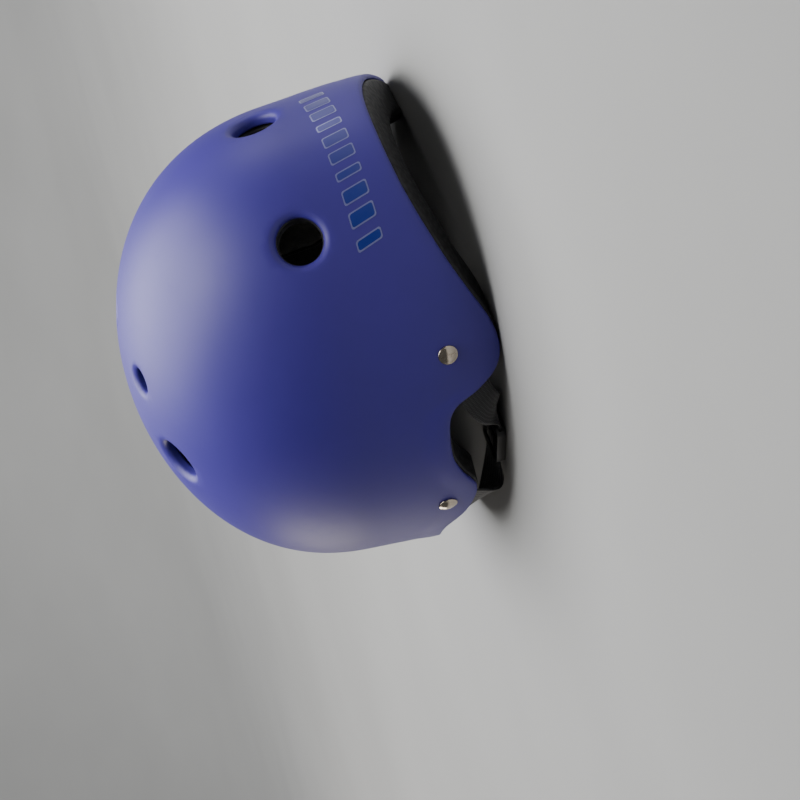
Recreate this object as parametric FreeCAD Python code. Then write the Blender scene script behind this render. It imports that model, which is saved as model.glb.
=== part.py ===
import FreeCAD, Part
import math
import os

V = FreeCAD.Vector

# A skate-style cycling helmet that stands on its rim: +X forward, +Y the wearer's left, +Z up.
# Sizes are millimetres. Heights of the dome are measured from its widest level.

# Outer shell
half_length = 138.0
half_width = 112.8
dome_height = 118.5
dome_power = 2.38          # above 2 the crown is flatter and the sides are fuller than an ellipse
lower_taper = 0.179        # how fast the sides draw in below the widest level
front_narrowing = 0.12     # how much narrower the brow is than the back
flare_height = 5.5         # the rim stands this far out of the dome
flare_top = 16.0
flare_bottom = -50.0
shell_wall = 3.0
rim_front = -25.4          # heights of the rim, below the widest level
rim_ear = -26.0
rim_temple = -57.4
rim_rear_lobe = -38.0
rim_side_back = -24.0

# Foam liner
liner_gap = 0.3
liner_wall = 20.0
liner_drop = 1.5           # the foam shows this far below the shell
table = rim_temple - liner_drop

# Comfort pads, held by hook-and-loop dots
dot_wall = 1.1
dot_size = 16.0
pad_wall = 7.4
layer_gap = 0.1

# Vents: angle from the front, angle from the crown, radius of the hole and of the dish round it
vent_lip_wall = 2.4
vent_lip_depth = 8.0
vents = {
    "front": (24.1, 76.6, 11.7, 15.2),
    "crown": (50.3, 15.1, 6.6, 9.4),
    "rear_top": (100.0, 26.5, 11.7, 15.2),
    "rear": (152.0, 71.3, 11.7, 15.2),
}

# Rivets that hold the straps
front_rivet = (72.6, -30.2)      # x and height
rear_rivet = (-27.1, -22.4)
rivet_cap_radius = 5.1
rivet_cap_height = 2.3
rivet_shank_radius = 1.9
rivet_running_gap = 0.1
washer_radius = 6.0
washer_wall = 1.0

# Webbing
webbing_width = 18.0
webbing_wall = 1.6
anchor_play = 0.3                # webbing to shell in the strap channel
channel_side_play = 1.0
channel_wall = 4.2
front_exit_run = 36.0            # from the rivet to where the loose webbing begins
rear_exit_run = 22.0
front_exit_turn = 205.0          # direction of the webbing, degrees from +X in side view
rear_exit_turn = 233.0
fold_gap = 1.1
seat_gap = 0.3

# Strap divider, below the ear
divider_x = -8.0
divider_length = 30.0
divider_width = 22.0
divider_wall = 4.8
divider_y = 93.0                 # distance of its centre from the middle plane
divider_lift = 0.6               # above what the helmet stands on
fold_bar_radius = 1.2

# Chin webbing and buckle
chin_left = 25.0                 # webbing from divider to socket
chin_right = 50.0                # webbing from divider to plug
loose_end_length = 17.5          # what is left over past the plug
buckle_width = 27.0
buckle_wall = 8.6
buckle_lift = 0.4
socket_length = 37.0
socket_wall = 1.8
plug_length = 17.0
plug_slot = 4.2
prong_length = 18.0
prong_width = 4.0
prong_wall = 3.6
prong_hook = 2.2
prong_gap = 0.35
guide_width = 5.0
buckle_window = 12.0
chin_pad_length = 18.0
chin_pad_wall = 3.0
chin_pad_play = 0.3
keeper_length = 5.0
keeper_wall = 1.3
keeper_play = 0.15
chin_pad_travel = 6.0
keeper_travel = 5.0

span = 2.35                      # half side of the square that is wrapped over the dome
grid_count = 31
flare_reach = flare_top - flare_bottom


def dome_point(u, v):
    """A point of the outer surface: the square u, v wrapped round the dome from its crown."""
    polar = 2 * math.atan(math.hypot(u, v))
    turn = math.atan2(v, u)
    height = dome_height * math.cos(polar)
    if height >= 0:
        share = math.sqrt(max(0.0, 1 - math.cos(polar) ** dome_power))
    else:
        share = 1 - lower_taper * (height / 100) ** 2
    rise = min(max((flare_top - height) / flare_reach, 0), 1)
    flare = flare_height * rise * rise * (3 - 2 * rise)
    along = (half_length * share + flare) * math.cos(turn)
    narrowing = 1 - front_narrowing * math.cos(turn) * share
    across = (half_width * share * narrowing + flare) * math.sin(turn)
    return V(along, across, height)


def outward(u, v):
    step = 1e-4
    du = dome_point(u + step, v) - dome_point(u - step, v)
    dv = dome_point(u, v + step) - dome_point(u, v - step)
    return du.cross(dv).normalize()


def dome(depth):
    """The solid under the surface that lies depth inside the outer one, cut off below the rim."""
    side = [span * (2 * i / (grid_count - 1) - 1) for i in range(grid_count)]
    rows = [[dome_point(u, v) - outward(u, v) * depth for v in side] for u in side]
    surface = Part.BSplineSurface()
    surface.interpolate(rows)
    room = 2 * half_length
    block = Part.makeBox(2 * room, 2 * room, room, V(-room, -room, table - 4))
    pieces, _ = block.generalFuse([surface.toShape()])
    inside = [s for s in pieces.Solids if s.isInside(V(0, 0, 0), 0.01, True)]
    return inside[0]


def side_prism(outline):
    """A closed wire in the side view, pushed through the whole width."""
    reach = 2 * half_width
    return Part.Face(outline).translated(V(0, -reach, 0)).extrude(V(0, 2 * reach, 0))


def above_rim(drop):
    """All that lies above the rim's line in side view, lowered by drop."""
    front = [(160, rim_front + 3), (139, rim_front), (114.6, -36.8), (96.5, -47), (82, -55)]
    temple = [(73, rim_temple), (63.5, rim_temple)]
    notch = [(56.5, -53.5), (50.4, -43.5), (44.5, -31), (33.9, rim_ear), (14, rim_ear)]
    lobe = [(0, -31.6), (-17, rim_rear_lobe), (-38.6, -33.8), (-59.5, rim_side_back + 0.6)]
    nape = [(-83, rim_side_back), (-99, -29.5), (-111, -40.5), (-119, -51.5)]
    heel = [(-127, rim_temple), (-165, rim_temple)]

    def curve(points, start=None, end=None):
        line = Part.BSplineCurve()
        places = [V(x, 0, z - drop) for x, z in points]
        if start:
            line.interpolate(Points=places, InitialTangent=start, FinalTangent=end)
        else:
            line.interpolate(places)
        return line.toShape()

    back = V(-1, 0, 0)
    edges = [curve(front + temple[:1], V(-1, 0, -0.1), back)]
    edges.append(Part.makeLine(V(temple[0][0], 0, rim_temple - drop), V(temple[1][0], 0, rim_temple - drop)))
    edges.append(curve(temple[1:] + notch + lobe + nape + heel[:1], back, back))
    corners = [(heel[0][0], rim_temple - drop), (heel[1][0], rim_temple - drop), (heel[1][0], 160)]
    corners += [(front[0][0], 160), (front[0][0], front[0][1] - drop)]
    for (x0, z0), (x1, z1) in zip(corners, corners[1:]):
        edges.append(Part.makeLine(V(x0, 0, z0), V(x1, 0, z1)))
    return side_prism(Part.Wire(edges))


def place_at(turn_degrees, polar):
    """The point of the outer surface at its angles from the front and the crown, with its normal."""
    reach = math.tan(polar / 2)
    turn = math.radians(turn_degrees)
    u, v = reach * math.cos(turn), reach * math.sin(turn)
    return dome_point(u, v), outward(u, v)


def place_beside(x, height, side):
    """The point of the outer surface at x and a height on one side, with its normal."""
    low, high = 0.0, 180.0
    polar = math.acos(height / dome_height)
    for _ in range(40):
        middle = (low + high) / 2
        if place_at(middle, polar)[0].x > x:
            low = middle
        else:
            high = middle
    return place_at(side * middle, polar)


def rod(point, direction, radius, start, end):
    """A cylinder along a direction, from start to end measured from a point."""
    return Part.makeCylinder(radius, end - start, point + direction * start, direction)


def mirror(shape):
    return shape.mirror(V(0, 0, 0), V(0, 1, 0))


def strip_outline(point, turn_degrees, start, end, width):
    """A straight strip in side view, from start to end along a direction."""
    turn = math.radians(turn_degrees)
    run = V(math.cos(turn), 0, math.sin(turn))
    rise = V(-math.sin(turn), 0, math.cos(turn)) * (width / 2)
    foot = V(point[0], 0, point[1])
    corners = [foot + run * start - rise, foot + run * end - rise]
    corners += [foot + run * end + rise, foot + run * start + rise]
    return Part.makePolygon(corners + corners[:1])


def half_space(side):
    reach = 2 * half_length
    return Part.makeBox(2 * reach, reach, 2 * reach, V(-reach, 0 if side > 0 else -reach, -reach))


layers = {}


def dome_at(depth):
    key = round(depth, 4)
    if key not in layers:
        layers[key] = dome(depth)
    return layers[key]


def layer(outer_depth, inner_depth):
    return dome_at(outer_depth).cut(dome_at(inner_depth))


liner_outer = shell_wall + liner_gap
liner_inner = liner_outer + liner_wall
dot_outer = liner_inner + layer_gap
dot_inner = dot_outer + dot_wall
pad_outer = dot_inner + layer_gap
pad_inner = pad_outer + pad_wall
rivets = {"front": (front_rivet, front_exit_turn, front_exit_run),
          "rear": (rear_rivet, rear_exit_turn, rear_exit_run)}
sides = {"left": 1, "right": -1}


def vent_places():
    for turn, polar, hole, dish in vents.values():
        for side in sides.values():
            point, normal = place_at(side * turn, math.radians(polar))
            yield point, normal, hole, dish


def make_shell():
    shell = layer(0, shell_wall).common(above_rim(0))
    for point, normal, hole, dish in vent_places():
        lip = rod(point, normal, hole + vent_lip_wall, -vent_lip_depth, -shell_wall / 2)
        dish_depth = dish - hole
        sink = Part.makeCone(hole, dish + dish_depth, 2 * dish_depth, point - normal * dish_depth, normal)
        shell = shell.fuse(lip).cut(sink).cut(rod(point, normal, hole, -3 * vent_lip_depth, dish_depth))
    for (x, height), _, _ in rivets.values():
        for side in sides.values():
            point, normal = place_beside(x, height, side)
            hole_radius = rivet_shank_radius + rivet_running_gap
            shell = shell.cut(rod(point, normal, hole_radius, -2 * shell_wall, shell_wall))
    return shell.removeSplitter()


def make_liner():
    liner = layer(liner_outer, liner_inner).common(above_rim(liner_drop))
    for point, normal, hole, dish in vent_places():
        seat = hole + vent_lip_wall + liner_gap
        liner = liner.cut(rod(point, normal, seat, -vent_lip_depth - liner_gap, shell_wall))
        liner = liner.cut(rod(point, normal, hole - 0.8, -2 * liner_inner, shell_wall))
    channel = layer(shell_wall - 1, liner_outer + channel_wall)
    width = webbing_width + 2 * channel_side_play
    for place, turn, run in rivets.values():
        strip = side_prism(strip_outline(place, turn, -width / 2, 2 * run, width))
        liner = liner.cut(channel.common(strip))
    return liner.removeSplitter()


def make_rivets():
    """Domed caps with their shanks, and the washers on the inner ends."""
    caps, washers = [], []
    inner = shell_wall + 2 * anchor_play + webbing_wall
    for (x, height), _, _ in rivets.values():
        for side in sides.values():
            point, normal = place_beside(x, height, side)
            ball = (rivet_cap_radius ** 2 + rivet_cap_height ** 2) / (2 * rivet_cap_height)
            dome_top = Part.makeSphere(ball, point + normal * (rivet_cap_height - ball))
            cap = dome_top.common(rod(point, normal, rivet_cap_radius + 1, 0.05, 2 * rivet_cap_height))
            caps.append(cap.fuse(rod(point, normal, rivet_shank_radius, -inner - washer_wall, 0.5)))
            ring = rod(point, normal, washer_radius, -inner - washer_wall, -inner)
            hole_radius = rivet_shank_radius + 0.02
            washers.append(ring.cut(rod(point, normal, hole_radius, -2 * inner, 0)))
    return Part.makeCompound(caps), Part.makeCompound(washers)


def make_strap_end(name, side):
    """The riveted end of the webbing, between shell and foam."""
    place, turn, run = rivets[name]
    outer = shell_wall + anchor_play
    strip = side_prism(strip_outline(place, turn, -webbing_width / 2, run, webbing_width))
    end = layer(outer, outer + webbing_wall).common(strip).common(half_space(side))
    point, normal = place_beside(place[0], place[1], side)
    return end.cut(rod(point, normal, rivet_shank_radius + 0.1, -3 * shell_wall, shell_wall))


def exit_place(name, side):
    """Where the loose webbing begins: a point in the middle of its wall, its run and its width."""
    (x, height), turn_degrees, run = rivets[name]
    turn = math.radians(turn_degrees)
    x, height = x + run * math.cos(turn), height + run * math.sin(turn)
    surface_point, normal = place_beside(x, height, side)
    point = surface_point - normal * (shell_wall + anchor_play + webbing_wall / 2)
    straight = V(math.cos(turn), 0, math.sin(turn))
    ahead = (straight - normal * straight.dot(normal)).normalize()
    behind = (surface_point - point).dot(straight) / ahead.dot(straight)
    return point + ahead * behind, ahead, normal.cross(ahead).normalize()


def ribbon(stations):
    """Webbing through stations of centre, run and width direction."""
    sections = []
    for centre, ahead, across in stations:
        half = across.normalize() * (webbing_width / 2)
        rise = ahead.cross(across).normalize() * (webbing_wall / 2)
        corners = [centre - half - rise, centre + half - rise, centre + half + rise, centre - half + rise]
        sections.append(Part.makePolygon(corners + corners[:1]))
    return Part.makeLoft(sections, True, True)


def make_leg(name, side):
    """One leg of the loose strap, from its exit down and round to the divider."""
    start, ahead, across = exit_place(name, side)
    lie = table + divider_lift + divider_wall / 2
    forward = 1 if name == "front" else -1
    end = V(divider_x + forward * (divider_length / 2 + seat_gap), side * divider_y, lie)
    if across.y * side < 0:
        across = across * -1
    first = start + ahead * fold_gap
    reach = 0.55 if name == "front" else 0.62
    pull = (end - first).Length * reach
    ends_x = -forward
    handles = [first, first + ahead * pull, end + V(forward * pull, 0, 0), end]
    stations = []
    count = 7
    for i in range(count):
        t = i / (count - 1)
        weights = [(1 - t) ** 3, 3 * t * (1 - t) ** 2, 3 * t * t * (1 - t), t ** 3]
        slopes = [-3 * (1 - t) ** 2, 3 * (1 - t) * (1 - 3 * t), 3 * t * (2 - 3 * t), 3 * t * t]
        centre, run = V(0, 0, 0), V(0, 0, 0)
        for weight, slope, handle in zip(weights, slopes, handles):
            centre = centre + handle * weight
            run = run + handle * slope
        run.normalize()
        width = across * (1 - t) + V(0, side, 0) * t
        width = width - run * width.dot(run)
        stations.append((centre, run, width))
    stations[-1] = (end, V(ends_x, 0, 0), V(0, side, 0))
    return ribbon(stations)


def rounded_box(x0, x1, y0, y1, z0, z1, radius):
    """A block with its upright edges rounded."""
    block = Part.makeBox(x1 - x0, y1 - y0, z1 - z0, V(x0, y0, z0))
    upright = [e for e in block.Edges if abs(e.tangentAt(e.FirstParameter).z) > 0.9]
    return block.makeFillet(radius, upright)


divider_low = table + divider_lift
webbing_level = divider_low + divider_wall / 2
divider_inner = divider_y - divider_width / 2
fold_y = divider_inner - seat_gap - fold_bar_radius


def make_divider(side):
    """A flat plate with two slots for the legs; made on the left and mirrored."""
    half = divider_length / 2
    y0, y1 = divider_y - divider_width / 2, divider_y + divider_width / 2
    low, high = divider_low, divider_low + divider_wall
    plate = rounded_box(divider_x - half, divider_x + half, y0, y1, low, high, 4)
    plate = plate.makeFillet(1.2, [e for e in plate.Edges if abs(e.BoundBox.ZMin - high) < 1e-6])
    for x in (-half / 2, half / 2):
        slot = rounded_box(divider_x + x - 1.6, divider_x + x + 1.6, y0 + 2.5, y1 - 2.5, low - 1, high + 1, 1.5)
        plate = plate.cut(slot)
    return plate if side > 0 else mirror(plate)


def make_chin_webbing(length):
    """The single webbing that runs inward from the divider, rolled at both ends."""
    edge = divider_x - webbing_width / 2
    band = Part.makeBox(webbing_width, length, webbing_wall,
                        V(edge, fold_y - length, webbing_level - webbing_wall / 2))
    for y in (fold_y, fold_y - length):
        roll = rod(V(edge, y, webbing_level), V(1, 0, 0), fold_bar_radius, 0, webbing_width)
        band = band.fuse(roll)
    return band.removeSplitter()


buckle_low = table + buckle_lift
buckle_high = buckle_low + buckle_wall
slot_half = webbing_width / 2 + 0.8
end_reach = fold_bar_radius + seat_gap       # from the middle of a webbing's roll to what it holds


def buckle_block(y0, y1):
    """The moulded block that both halves of the buckle begin as."""
    half = buckle_width / 2
    block = rounded_box(divider_x - half, divider_x + half, y0, y1, buckle_low, buckle_high, 3)
    return block.makeFillet(1.6, [e for e in block.Edges if abs(e.BoundBox.ZMin - buckle_high) < 1e-6])


def across_block(y, length, low, high):
    """A block as wide as the webbing's slots, from y on."""
    return Part.makeBox(2 * slot_half, length, high - low, V(divider_x - slot_half, y, low))


def make_socket():
    """The buckle's socket: a hollow body open at its mouth, with a window at each side."""
    y1 = fold_y - chin_left - end_reach
    y0 = y1 - socket_length
    half = buckle_width / 2
    inner = half - socket_wall
    bore_low, bore_high = buckle_low + socket_wall, buckle_high - socket_wall
    hollow = Part.makeBox(2 * inner, socket_length - 12, bore_high - bore_low,
                          V(divider_x - inner, y0 - 1, bore_low))
    window = Part.makeBox(buckle_width + 4, buckle_window, bore_high - bore_low - 0.6,
                          V(divider_x - half - 2, y0 + 6, bore_low + 0.3))
    bar_slot = across_block(y1 - 9, 6, buckle_low - 1, buckle_high + 1)
    bar = across_block(y1 - 7, 2.4, buckle_low + 1.6, buckle_high - 3)
    return buckle_block(y0, y1).cut(hollow).cut(window).cut(bar_slot).fuse(bar).removeSplitter()


plug_low = -(fold_y - chin_right) + end_reach
plug_high = plug_low + plug_length


def make_plug():
    """The plug's body: a block with two slots for the webbing, and a middle guide."""
    body = buckle_block(plug_low, plug_high)
    for y in (plug_low + 2.6, plug_low + 9.2):
        body = body.cut(across_block(y, plug_slot, buckle_low - 1, buckle_high + 1))
    guide = Part.makeBox(guide_width, prong_length - 2, prong_wall,
                         V(divider_x - guide_width / 2, plug_high - 0.5, buckle_low + (buckle_wall - prong_wall) / 2))
    return body.fuse(guide).removeSplitter()


def make_loose_end():
    """What is left of the adjustable webbing, folded back on top of it from the plug."""
    y1 = plug_low - end_reach - 2
    low = webbing_level + webbing_wall / 2 + layer_gap
    return Part.makeBox(webbing_width, loose_end_length, webbing_wall,
                        V(divider_x - webbing_width / 2, y1 - loose_end_length, low))


def make_prong(root_y, forward):
    """One springy arm of the plug, with its hook outwards."""
    half = buckle_width / 2 - socket_wall - 0.7
    low = buckle_low + (buckle_wall - prong_wall) / 2
    outer = divider_x + forward * half
    inner = outer - forward * prong_width
    y0, y1 = root_y + prong_gap, root_y + prong_length
    corners = [(inner, y0), (outer, y0), (outer, y1 - 9), (outer + forward * prong_hook, y1 - 8)]
    corners += [(outer + forward * prong_hook, y1 - 5), (outer - forward, y1), (inner, y1)]
    face = Part.Face(Part.makePolygon([V(x, y, low) for x, y in corners + corners[:1]]))
    return face.extrude(V(0, 0, prong_wall))


def make_sleeve(y0, length, play, wall, radius, layers_held):
    """A closed band round one or two layers of the chin webbing."""
    half = webbing_width / 2 + play
    low = webbing_level - webbing_wall / 2 - play
    high = low + layers_held * (webbing_wall + layer_gap) + 2 * play
    outer = rounded_box(divider_x - half - wall, divider_x + half + wall, y0, y0 + length,
                        low - min(wall, low - table - 0.2), high + wall, radius)
    return outer.cut(Part.makeBox(2 * half, length + 2, high - low, V(divider_x - half, y0 - 1, low)))


def pad_block(x0, x1, y0, y1, z0, z1, radius):
    """A block with its edges along X, Y or Z rounded, whichever the pad is seen along."""
    block = Part.makeBox(x1 - x0, y1 - y0, z1 - z0, V(x0, y0, z0))
    longest = min(range(3), key=lambda i: -[x1 - x0, y1 - y0, z1 - z0][i])
    along = [V(1, 0, 0), V(0, 1, 0), V(0, 0, 1)][longest]
    edges = [e for e in block.Edges if abs(e.tangentAt(e.FirstParameter).dot(along)) > 0.9]
    return block.makeFillet(radius, edges)


def make_pads():
    """Pads and their hook-and-loop dots, each cut out of a layer that follows the foam."""
    deep = 2.2 * half_length
    blocks = {
        "brow_pad": pad_block(20, deep, -60, 60, -22, 6, 10),
        "side_pad_left": pad_block(-44, 46, 30, deep, -20, 20, 12),
        "side_pad_right": pad_block(-44, 46, -deep, -30, -20, 20, 12),
        "rear_pad": pad_block(-deep, -30, -46, 46, -44, -12, 10),
        "crown_pad": pad_block(-62, 58, -13, 13, 40, deep, 10),
    }
    skin = layer(pad_outer, pad_inner)
    pads = {name: skin.common(block) for name, block in blocks.items()}
    half = dot_size / 2
    film = layer(dot_outer, dot_inner)
    dots = []
    for y in (-40, 0, 40):
        dots.append(film.common(pad_block(20, deep, y - half, y + half, -8 - half, -8 + half, 3)))
    for side in sides.values():
        for x in (-24, 36):
            y0, y1 = sorted((side * 30, side * deep))
            dots.append(film.common(pad_block(x - half, x + half, y0, y1, -half, half, 3)))
    for y in (-28, 28):
        dots.append(film.common(pad_block(-deep, -30, y - half, y + half, -28 - half, -28 + half, 3)))
    for x in (-44, 40):
        dots.append(film.common(pad_block(x - half, x + half, -half, half, 40, deep, 3)))
    pads["pad_hook_dots"] = Part.makeCompound([solid for dot in dots for solid in dot.Solids])
    return pads


nodes = {"outer_shell": make_shell(), "eps_liner": make_liner()}
nodes["rivet_caps"], nodes["rivet_washers"] = make_rivets()
nodes.update(make_pads())
for side_name, side in sides.items():
    for end_name in rivets:
        nodes[f"{end_name}_strap_end_{side_name}"] = make_strap_end(end_name, side)
        nodes[f"{end_name}_webbing_{side_name}"] = make_leg(end_name, side)
    nodes[f"strap_divider_{side_name}"] = make_divider(side)
nodes["chin_webbing_left"] = make_chin_webbing(chin_left)
nodes["chin_webbing_right"] = mirror(make_chin_webbing(chin_right))
nodes["buckle_socket"] = make_socket()
nodes["buckle_plug"] = make_plug()
nodes["webbing_loose_end"] = make_loose_end()
nodes["buckle_prong_front"] = make_prong(plug_high, 1)
nodes["buckle_prong_rear"] = make_prong(plug_high, -1)
pad_y = -fold_y + divider_wall / 2 + 2
nodes["chin_pad"] = make_sleeve(pad_y, chin_pad_length, chin_pad_play, chin_pad_wall, 2.5, 1)
keeper_y = pad_y + chin_pad_length + chin_pad_travel + keeper_travel + 1
nodes["strap_keeper"] = make_sleeve(keeper_y, keeper_length, keeper_play, keeper_wall, 1.2, 2)

os.makedirs("parts", exist_ok=True)
for name, shape in nodes.items():
    shape = shape.translated(V(0, 0, -table))
    shape.exportStep(f"parts/{name}.step")
    box = shape.BoundBox
    corner = [round(n, 1) for n in (box.XMin, box.XMax, box.YMin, box.YMax, box.ZMin, box.ZMax)]
    print(name, len(shape.Solids), shape.isValid(), round(shape.Volume / 1000, 2), corner)
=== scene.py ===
import math

import bmesh
import bpy
import numpy as np
from mathutils import Matrix, Vector


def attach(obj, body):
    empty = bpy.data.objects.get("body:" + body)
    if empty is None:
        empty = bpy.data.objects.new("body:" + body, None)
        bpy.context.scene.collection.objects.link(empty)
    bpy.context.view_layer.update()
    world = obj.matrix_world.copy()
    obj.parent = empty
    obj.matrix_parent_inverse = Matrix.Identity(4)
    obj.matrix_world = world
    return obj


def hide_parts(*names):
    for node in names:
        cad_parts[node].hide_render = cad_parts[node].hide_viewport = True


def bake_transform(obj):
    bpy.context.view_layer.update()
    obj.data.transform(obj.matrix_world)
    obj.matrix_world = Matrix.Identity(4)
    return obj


# A skate-style cycling helmet, standing on its rim. +X forward, +Y the wearer's left, +Z up. Metres.
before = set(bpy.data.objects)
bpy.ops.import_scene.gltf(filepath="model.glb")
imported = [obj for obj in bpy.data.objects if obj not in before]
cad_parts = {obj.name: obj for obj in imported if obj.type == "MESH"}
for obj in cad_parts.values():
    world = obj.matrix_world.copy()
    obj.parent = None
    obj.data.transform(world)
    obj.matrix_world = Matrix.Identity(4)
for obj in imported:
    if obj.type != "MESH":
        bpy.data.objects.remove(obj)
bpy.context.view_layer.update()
MM = 0.001

# The dome, as the shell's design gives it, in millimetres from its widest level
HALF_LENGTH, HALF_WIDTH, DOME_HEIGHT, DOME_POWER = 138.0, 112.8, 118.5, 2.38
LOWER_TAPER, FRONT_NARROWING = 0.179, 0.12
FLARE_HEIGHT, FLARE_TOP, FLARE_BOTTOM = 5.5, 16.0, -50.0
SHELL_WALL, LINER_GAP, LINER_WALL, LINER_DROP = 3.0, 0.3, 20.0, 1.5
RIM_TEMPLE = -57.4
WIDEST_LEVEL = LINER_DROP - RIM_TEMPLE          # height of the widest level above the table
RIM_LINE = [
    (160, -22.4), (139, -25.4), (114.6, -36.8), (96.5, -46.4), (82, -54.2), (72, RIM_TEMPLE),
    (63.5, RIM_TEMPLE), (56.5, -53.5), (50.4, -43.5), (44.5, -31), (33.9, -26), (13, -26),
    (-2, -31.0), (-18.5, -38.6), (-39.6, -34.0), (-60, -23.6), (-83, -24), (-99, -29.5),
    (-111, -40.5), (-119, -51.5), (-127, RIM_TEMPLE), (-146, RIM_TEMPLE), (-165, RIM_TEMPLE),
]
# Vents: angle from the front, angle from the crown, radius of the hole and of the dish round it
VENTS = [(24.1, 76.6, 11.7, 15.4), (50.3, 15.1, 6.6, 9.6),
         (100.0, 26.5, 11.7, 15.4), (152.0, 71.3, 11.7, 15.4)]
VENT_POINTS = 72
DISH_CREASE = 24                                 # degrees by which the dish breaks from the shell
# Rivets: x, height, the webbing's direction in side view and how far it runs under the shell
RIVETS = {"front": (72.6, -30.2, 205.0, 36.0), "rear": (-27.1, -22.4, 233.0, 22.0)}
CHANNEL_DEPTH = 3.4
WEBBING_WIDTH, WEBBING_WALL, WEBBING_DEPTH = 18.0, 1.5, 4.1
SIDES = {"left": 1, "right": -1}
# Straps and buckle, in millimetres above the table
DIVIDER_X, DIVIDER_Y, DIVIDER_LENGTH, DIVIDER_WIDTH = -8.0, 93.0, 30.0, 22.0
DIVIDER_LOW, DIVIDER_HIGH, STRAP_LEVEL = 0.6, 5.4, 3.0
SOCKET_LOW, SOCKET_HIGH, PLUG_LOW, PLUG_HIGH = 17.0, 54.0, -29.0, -12.0
BUCKLE_LOW, BUCKLE_HIGH, BUCKLE_WIDTH = 0.4, 9.0, 27.0
STRAP_SLOT = 9.8                                 # half the width of the slots the strap runs through
PRONG_LEVELS = (2.9, 6.5)
BAR_Y, BAR_LEVEL = 48.2, 4.3
CHIN_PAD_Y, KEEPER_Y = (-76.1, -58.1), (-46.1, -41.1)
# Pads: depths under the shell of their back, seam, puffed face, channels and the layer they are laid out on
PAD_BACK, PAD_SEAM, PAD_START, PAD_CHANNEL, PAD_MIDDLE = 24.8, 26.0, 28.6, 27.2, 28.0
STRIPE_COUNT, STRIPE_PITCH, STRIPE_MIDDLE = 10, 10.5, -2.0
STRIPE_LOW, STRIPE_HIGH, STRIPE_LEAN = -12.0, 1.6, 3.0
# The room and the rim's rough reach from the crown, in metres
FLOOR_FRONT, FLOOR_BACK, SWEEP, WALL, ROOM_WIDTH = 9.0, 2.6, 1.6, 6.0, 12.0
ROOM_DIRECTION, WORLD_STRENGTH, RIM_REACH = (-0.834, 0.551), 0.12, 0.2


# ---------------------------------------------------------------- shape of the dome

def dome(u, v, depth=0.0):
    """Points that lie depth inside the outer surface, for the plane u, v wrapped round from the crown."""
    point = dome_surface(u, v)
    return point - dome_normal(u, v) * np.asarray(depth, float)[..., None]


def dome_surface(u, v):
    u, v = np.broadcast_arrays(np.asarray(u, float), np.asarray(v, float))
    polar = 2 * np.arctan(np.hypot(u, v))
    turn = np.arctan2(v, u)
    height = DOME_HEIGHT * np.cos(polar)
    over = np.clip(1 - np.clip(np.cos(polar), 0, 1) ** DOME_POWER, 0, 1)
    share = np.where(height >= 0, np.sqrt(over), 1 - LOWER_TAPER * (height / 100) ** 2)
    rise = np.clip((FLARE_TOP - height) / (FLARE_TOP - FLARE_BOTTOM), 0, 1)
    flare = FLARE_HEIGHT * rise * rise * (3 - 2 * rise)
    along = (HALF_LENGTH * share + flare) * np.cos(turn)
    narrowing = 1 - FRONT_NARROWING * np.cos(turn) * share
    across = (HALF_WIDTH * share * narrowing + flare) * np.sin(turn)
    return np.stack([along, across, height], -1)


def dome_normal(u, v, step=1e-4):
    du = dome_surface(u + step, v) - dome_surface(u - step, v)
    dv = dome_surface(u, v + step) - dome_surface(u, v - step)
    return unit(np.cross(du, dv))


def wrap(polar, turn):
    reach = np.tan(np.asarray(polar) / 2)
    return reach * np.cos(turn), reach * np.sin(turn)


def with_ends(points):
    """The points, with one more carried on past each end."""
    line = np.array(points, float)
    return np.vstack([2 * line[0] - line[1], line, 2 * line[-1] - line[-2]])


def catmull(a, b, c, d, f):
    """The place a share f of the way from b to c, on a smooth line through a, b, c and d."""
    return 0.5 * (2 * b + (c - a) * f + (2 * a - 5 * b + 4 * c - d) * f ** 2 + (3 * b - a - 3 * c + d) * f ** 3)


def run_along(line):
    """How far along a line each of its points lies."""
    return np.concatenate([[0], np.cumsum(np.linalg.norm(np.diff(line, axis=0), axis=1))])


def unit(vectors):
    """The vectors brought to a length of one."""
    return vectors / np.linalg.norm(vectors, axis=-1, keepdims=True)


def circle(count):
    """Angles spaced evenly round a full turn."""
    return np.linspace(0, 2 * math.pi, count, endpoint=False)


def smooth_line(points, count):
    """A Catmull-Rom line through points, as count places evenly along their numbering."""
    ends = with_ends(points)
    t = np.linspace(0, len(points) - 1 - 1e-9, count)
    i = t.astype(int)
    f = (t - i)[:, None]
    return catmull(ends[i], ends[i + 1], ends[i + 2], ends[i + 3], f)


rim_samples = smooth_line(RIM_LINE, 900)[::-1]


def rim_height(x):
    return np.interp(x, rim_samples[:, 0], rim_samples[:, 1])


def rim_polar(turn, depth, drop):
    """How far round from the crown the rim lies, at each turn."""
    low, high = np.full(len(turn), 1.2), np.full(len(turn), 2.3)
    for _ in range(40):
        middle = (low + high) / 2
        point = dome(*wrap(middle, turn), depth)
        inside = point[:, 2] > rim_height(point[:, 0]) - drop
        low, high = np.where(inside, middle, low), np.where(inside, high, middle)
    return (low + high) / 2


def even_turns(count, drop):
    """Turns that are evenly spaced along the rim itself."""
    turn = np.linspace(0, 2 * math.pi, 1801)
    point = dome(*wrap(rim_polar(turn, 0, drop), turn))
    run = run_along(point)
    return np.interp(np.arange(count) / count * run[-1], run, turn)


def ease(x):
    x = np.clip(x, 0, 1)
    return x * x * (3 - 2 * x)


# ---------------------------------------------------------------- mesh help

def deselect():
    for obj in bpy.context.selected_objects:
        obj.select_set(False)


def make_active(obj):
    deselect()
    obj.select_set(True)
    bpy.context.view_layer.objects.active = obj


def to_row(points):
    """Millimetres from the widest level to metres above the table."""
    return (np.asarray(points) + (0, 0, WIDEST_LEVEL)) * MM


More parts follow.
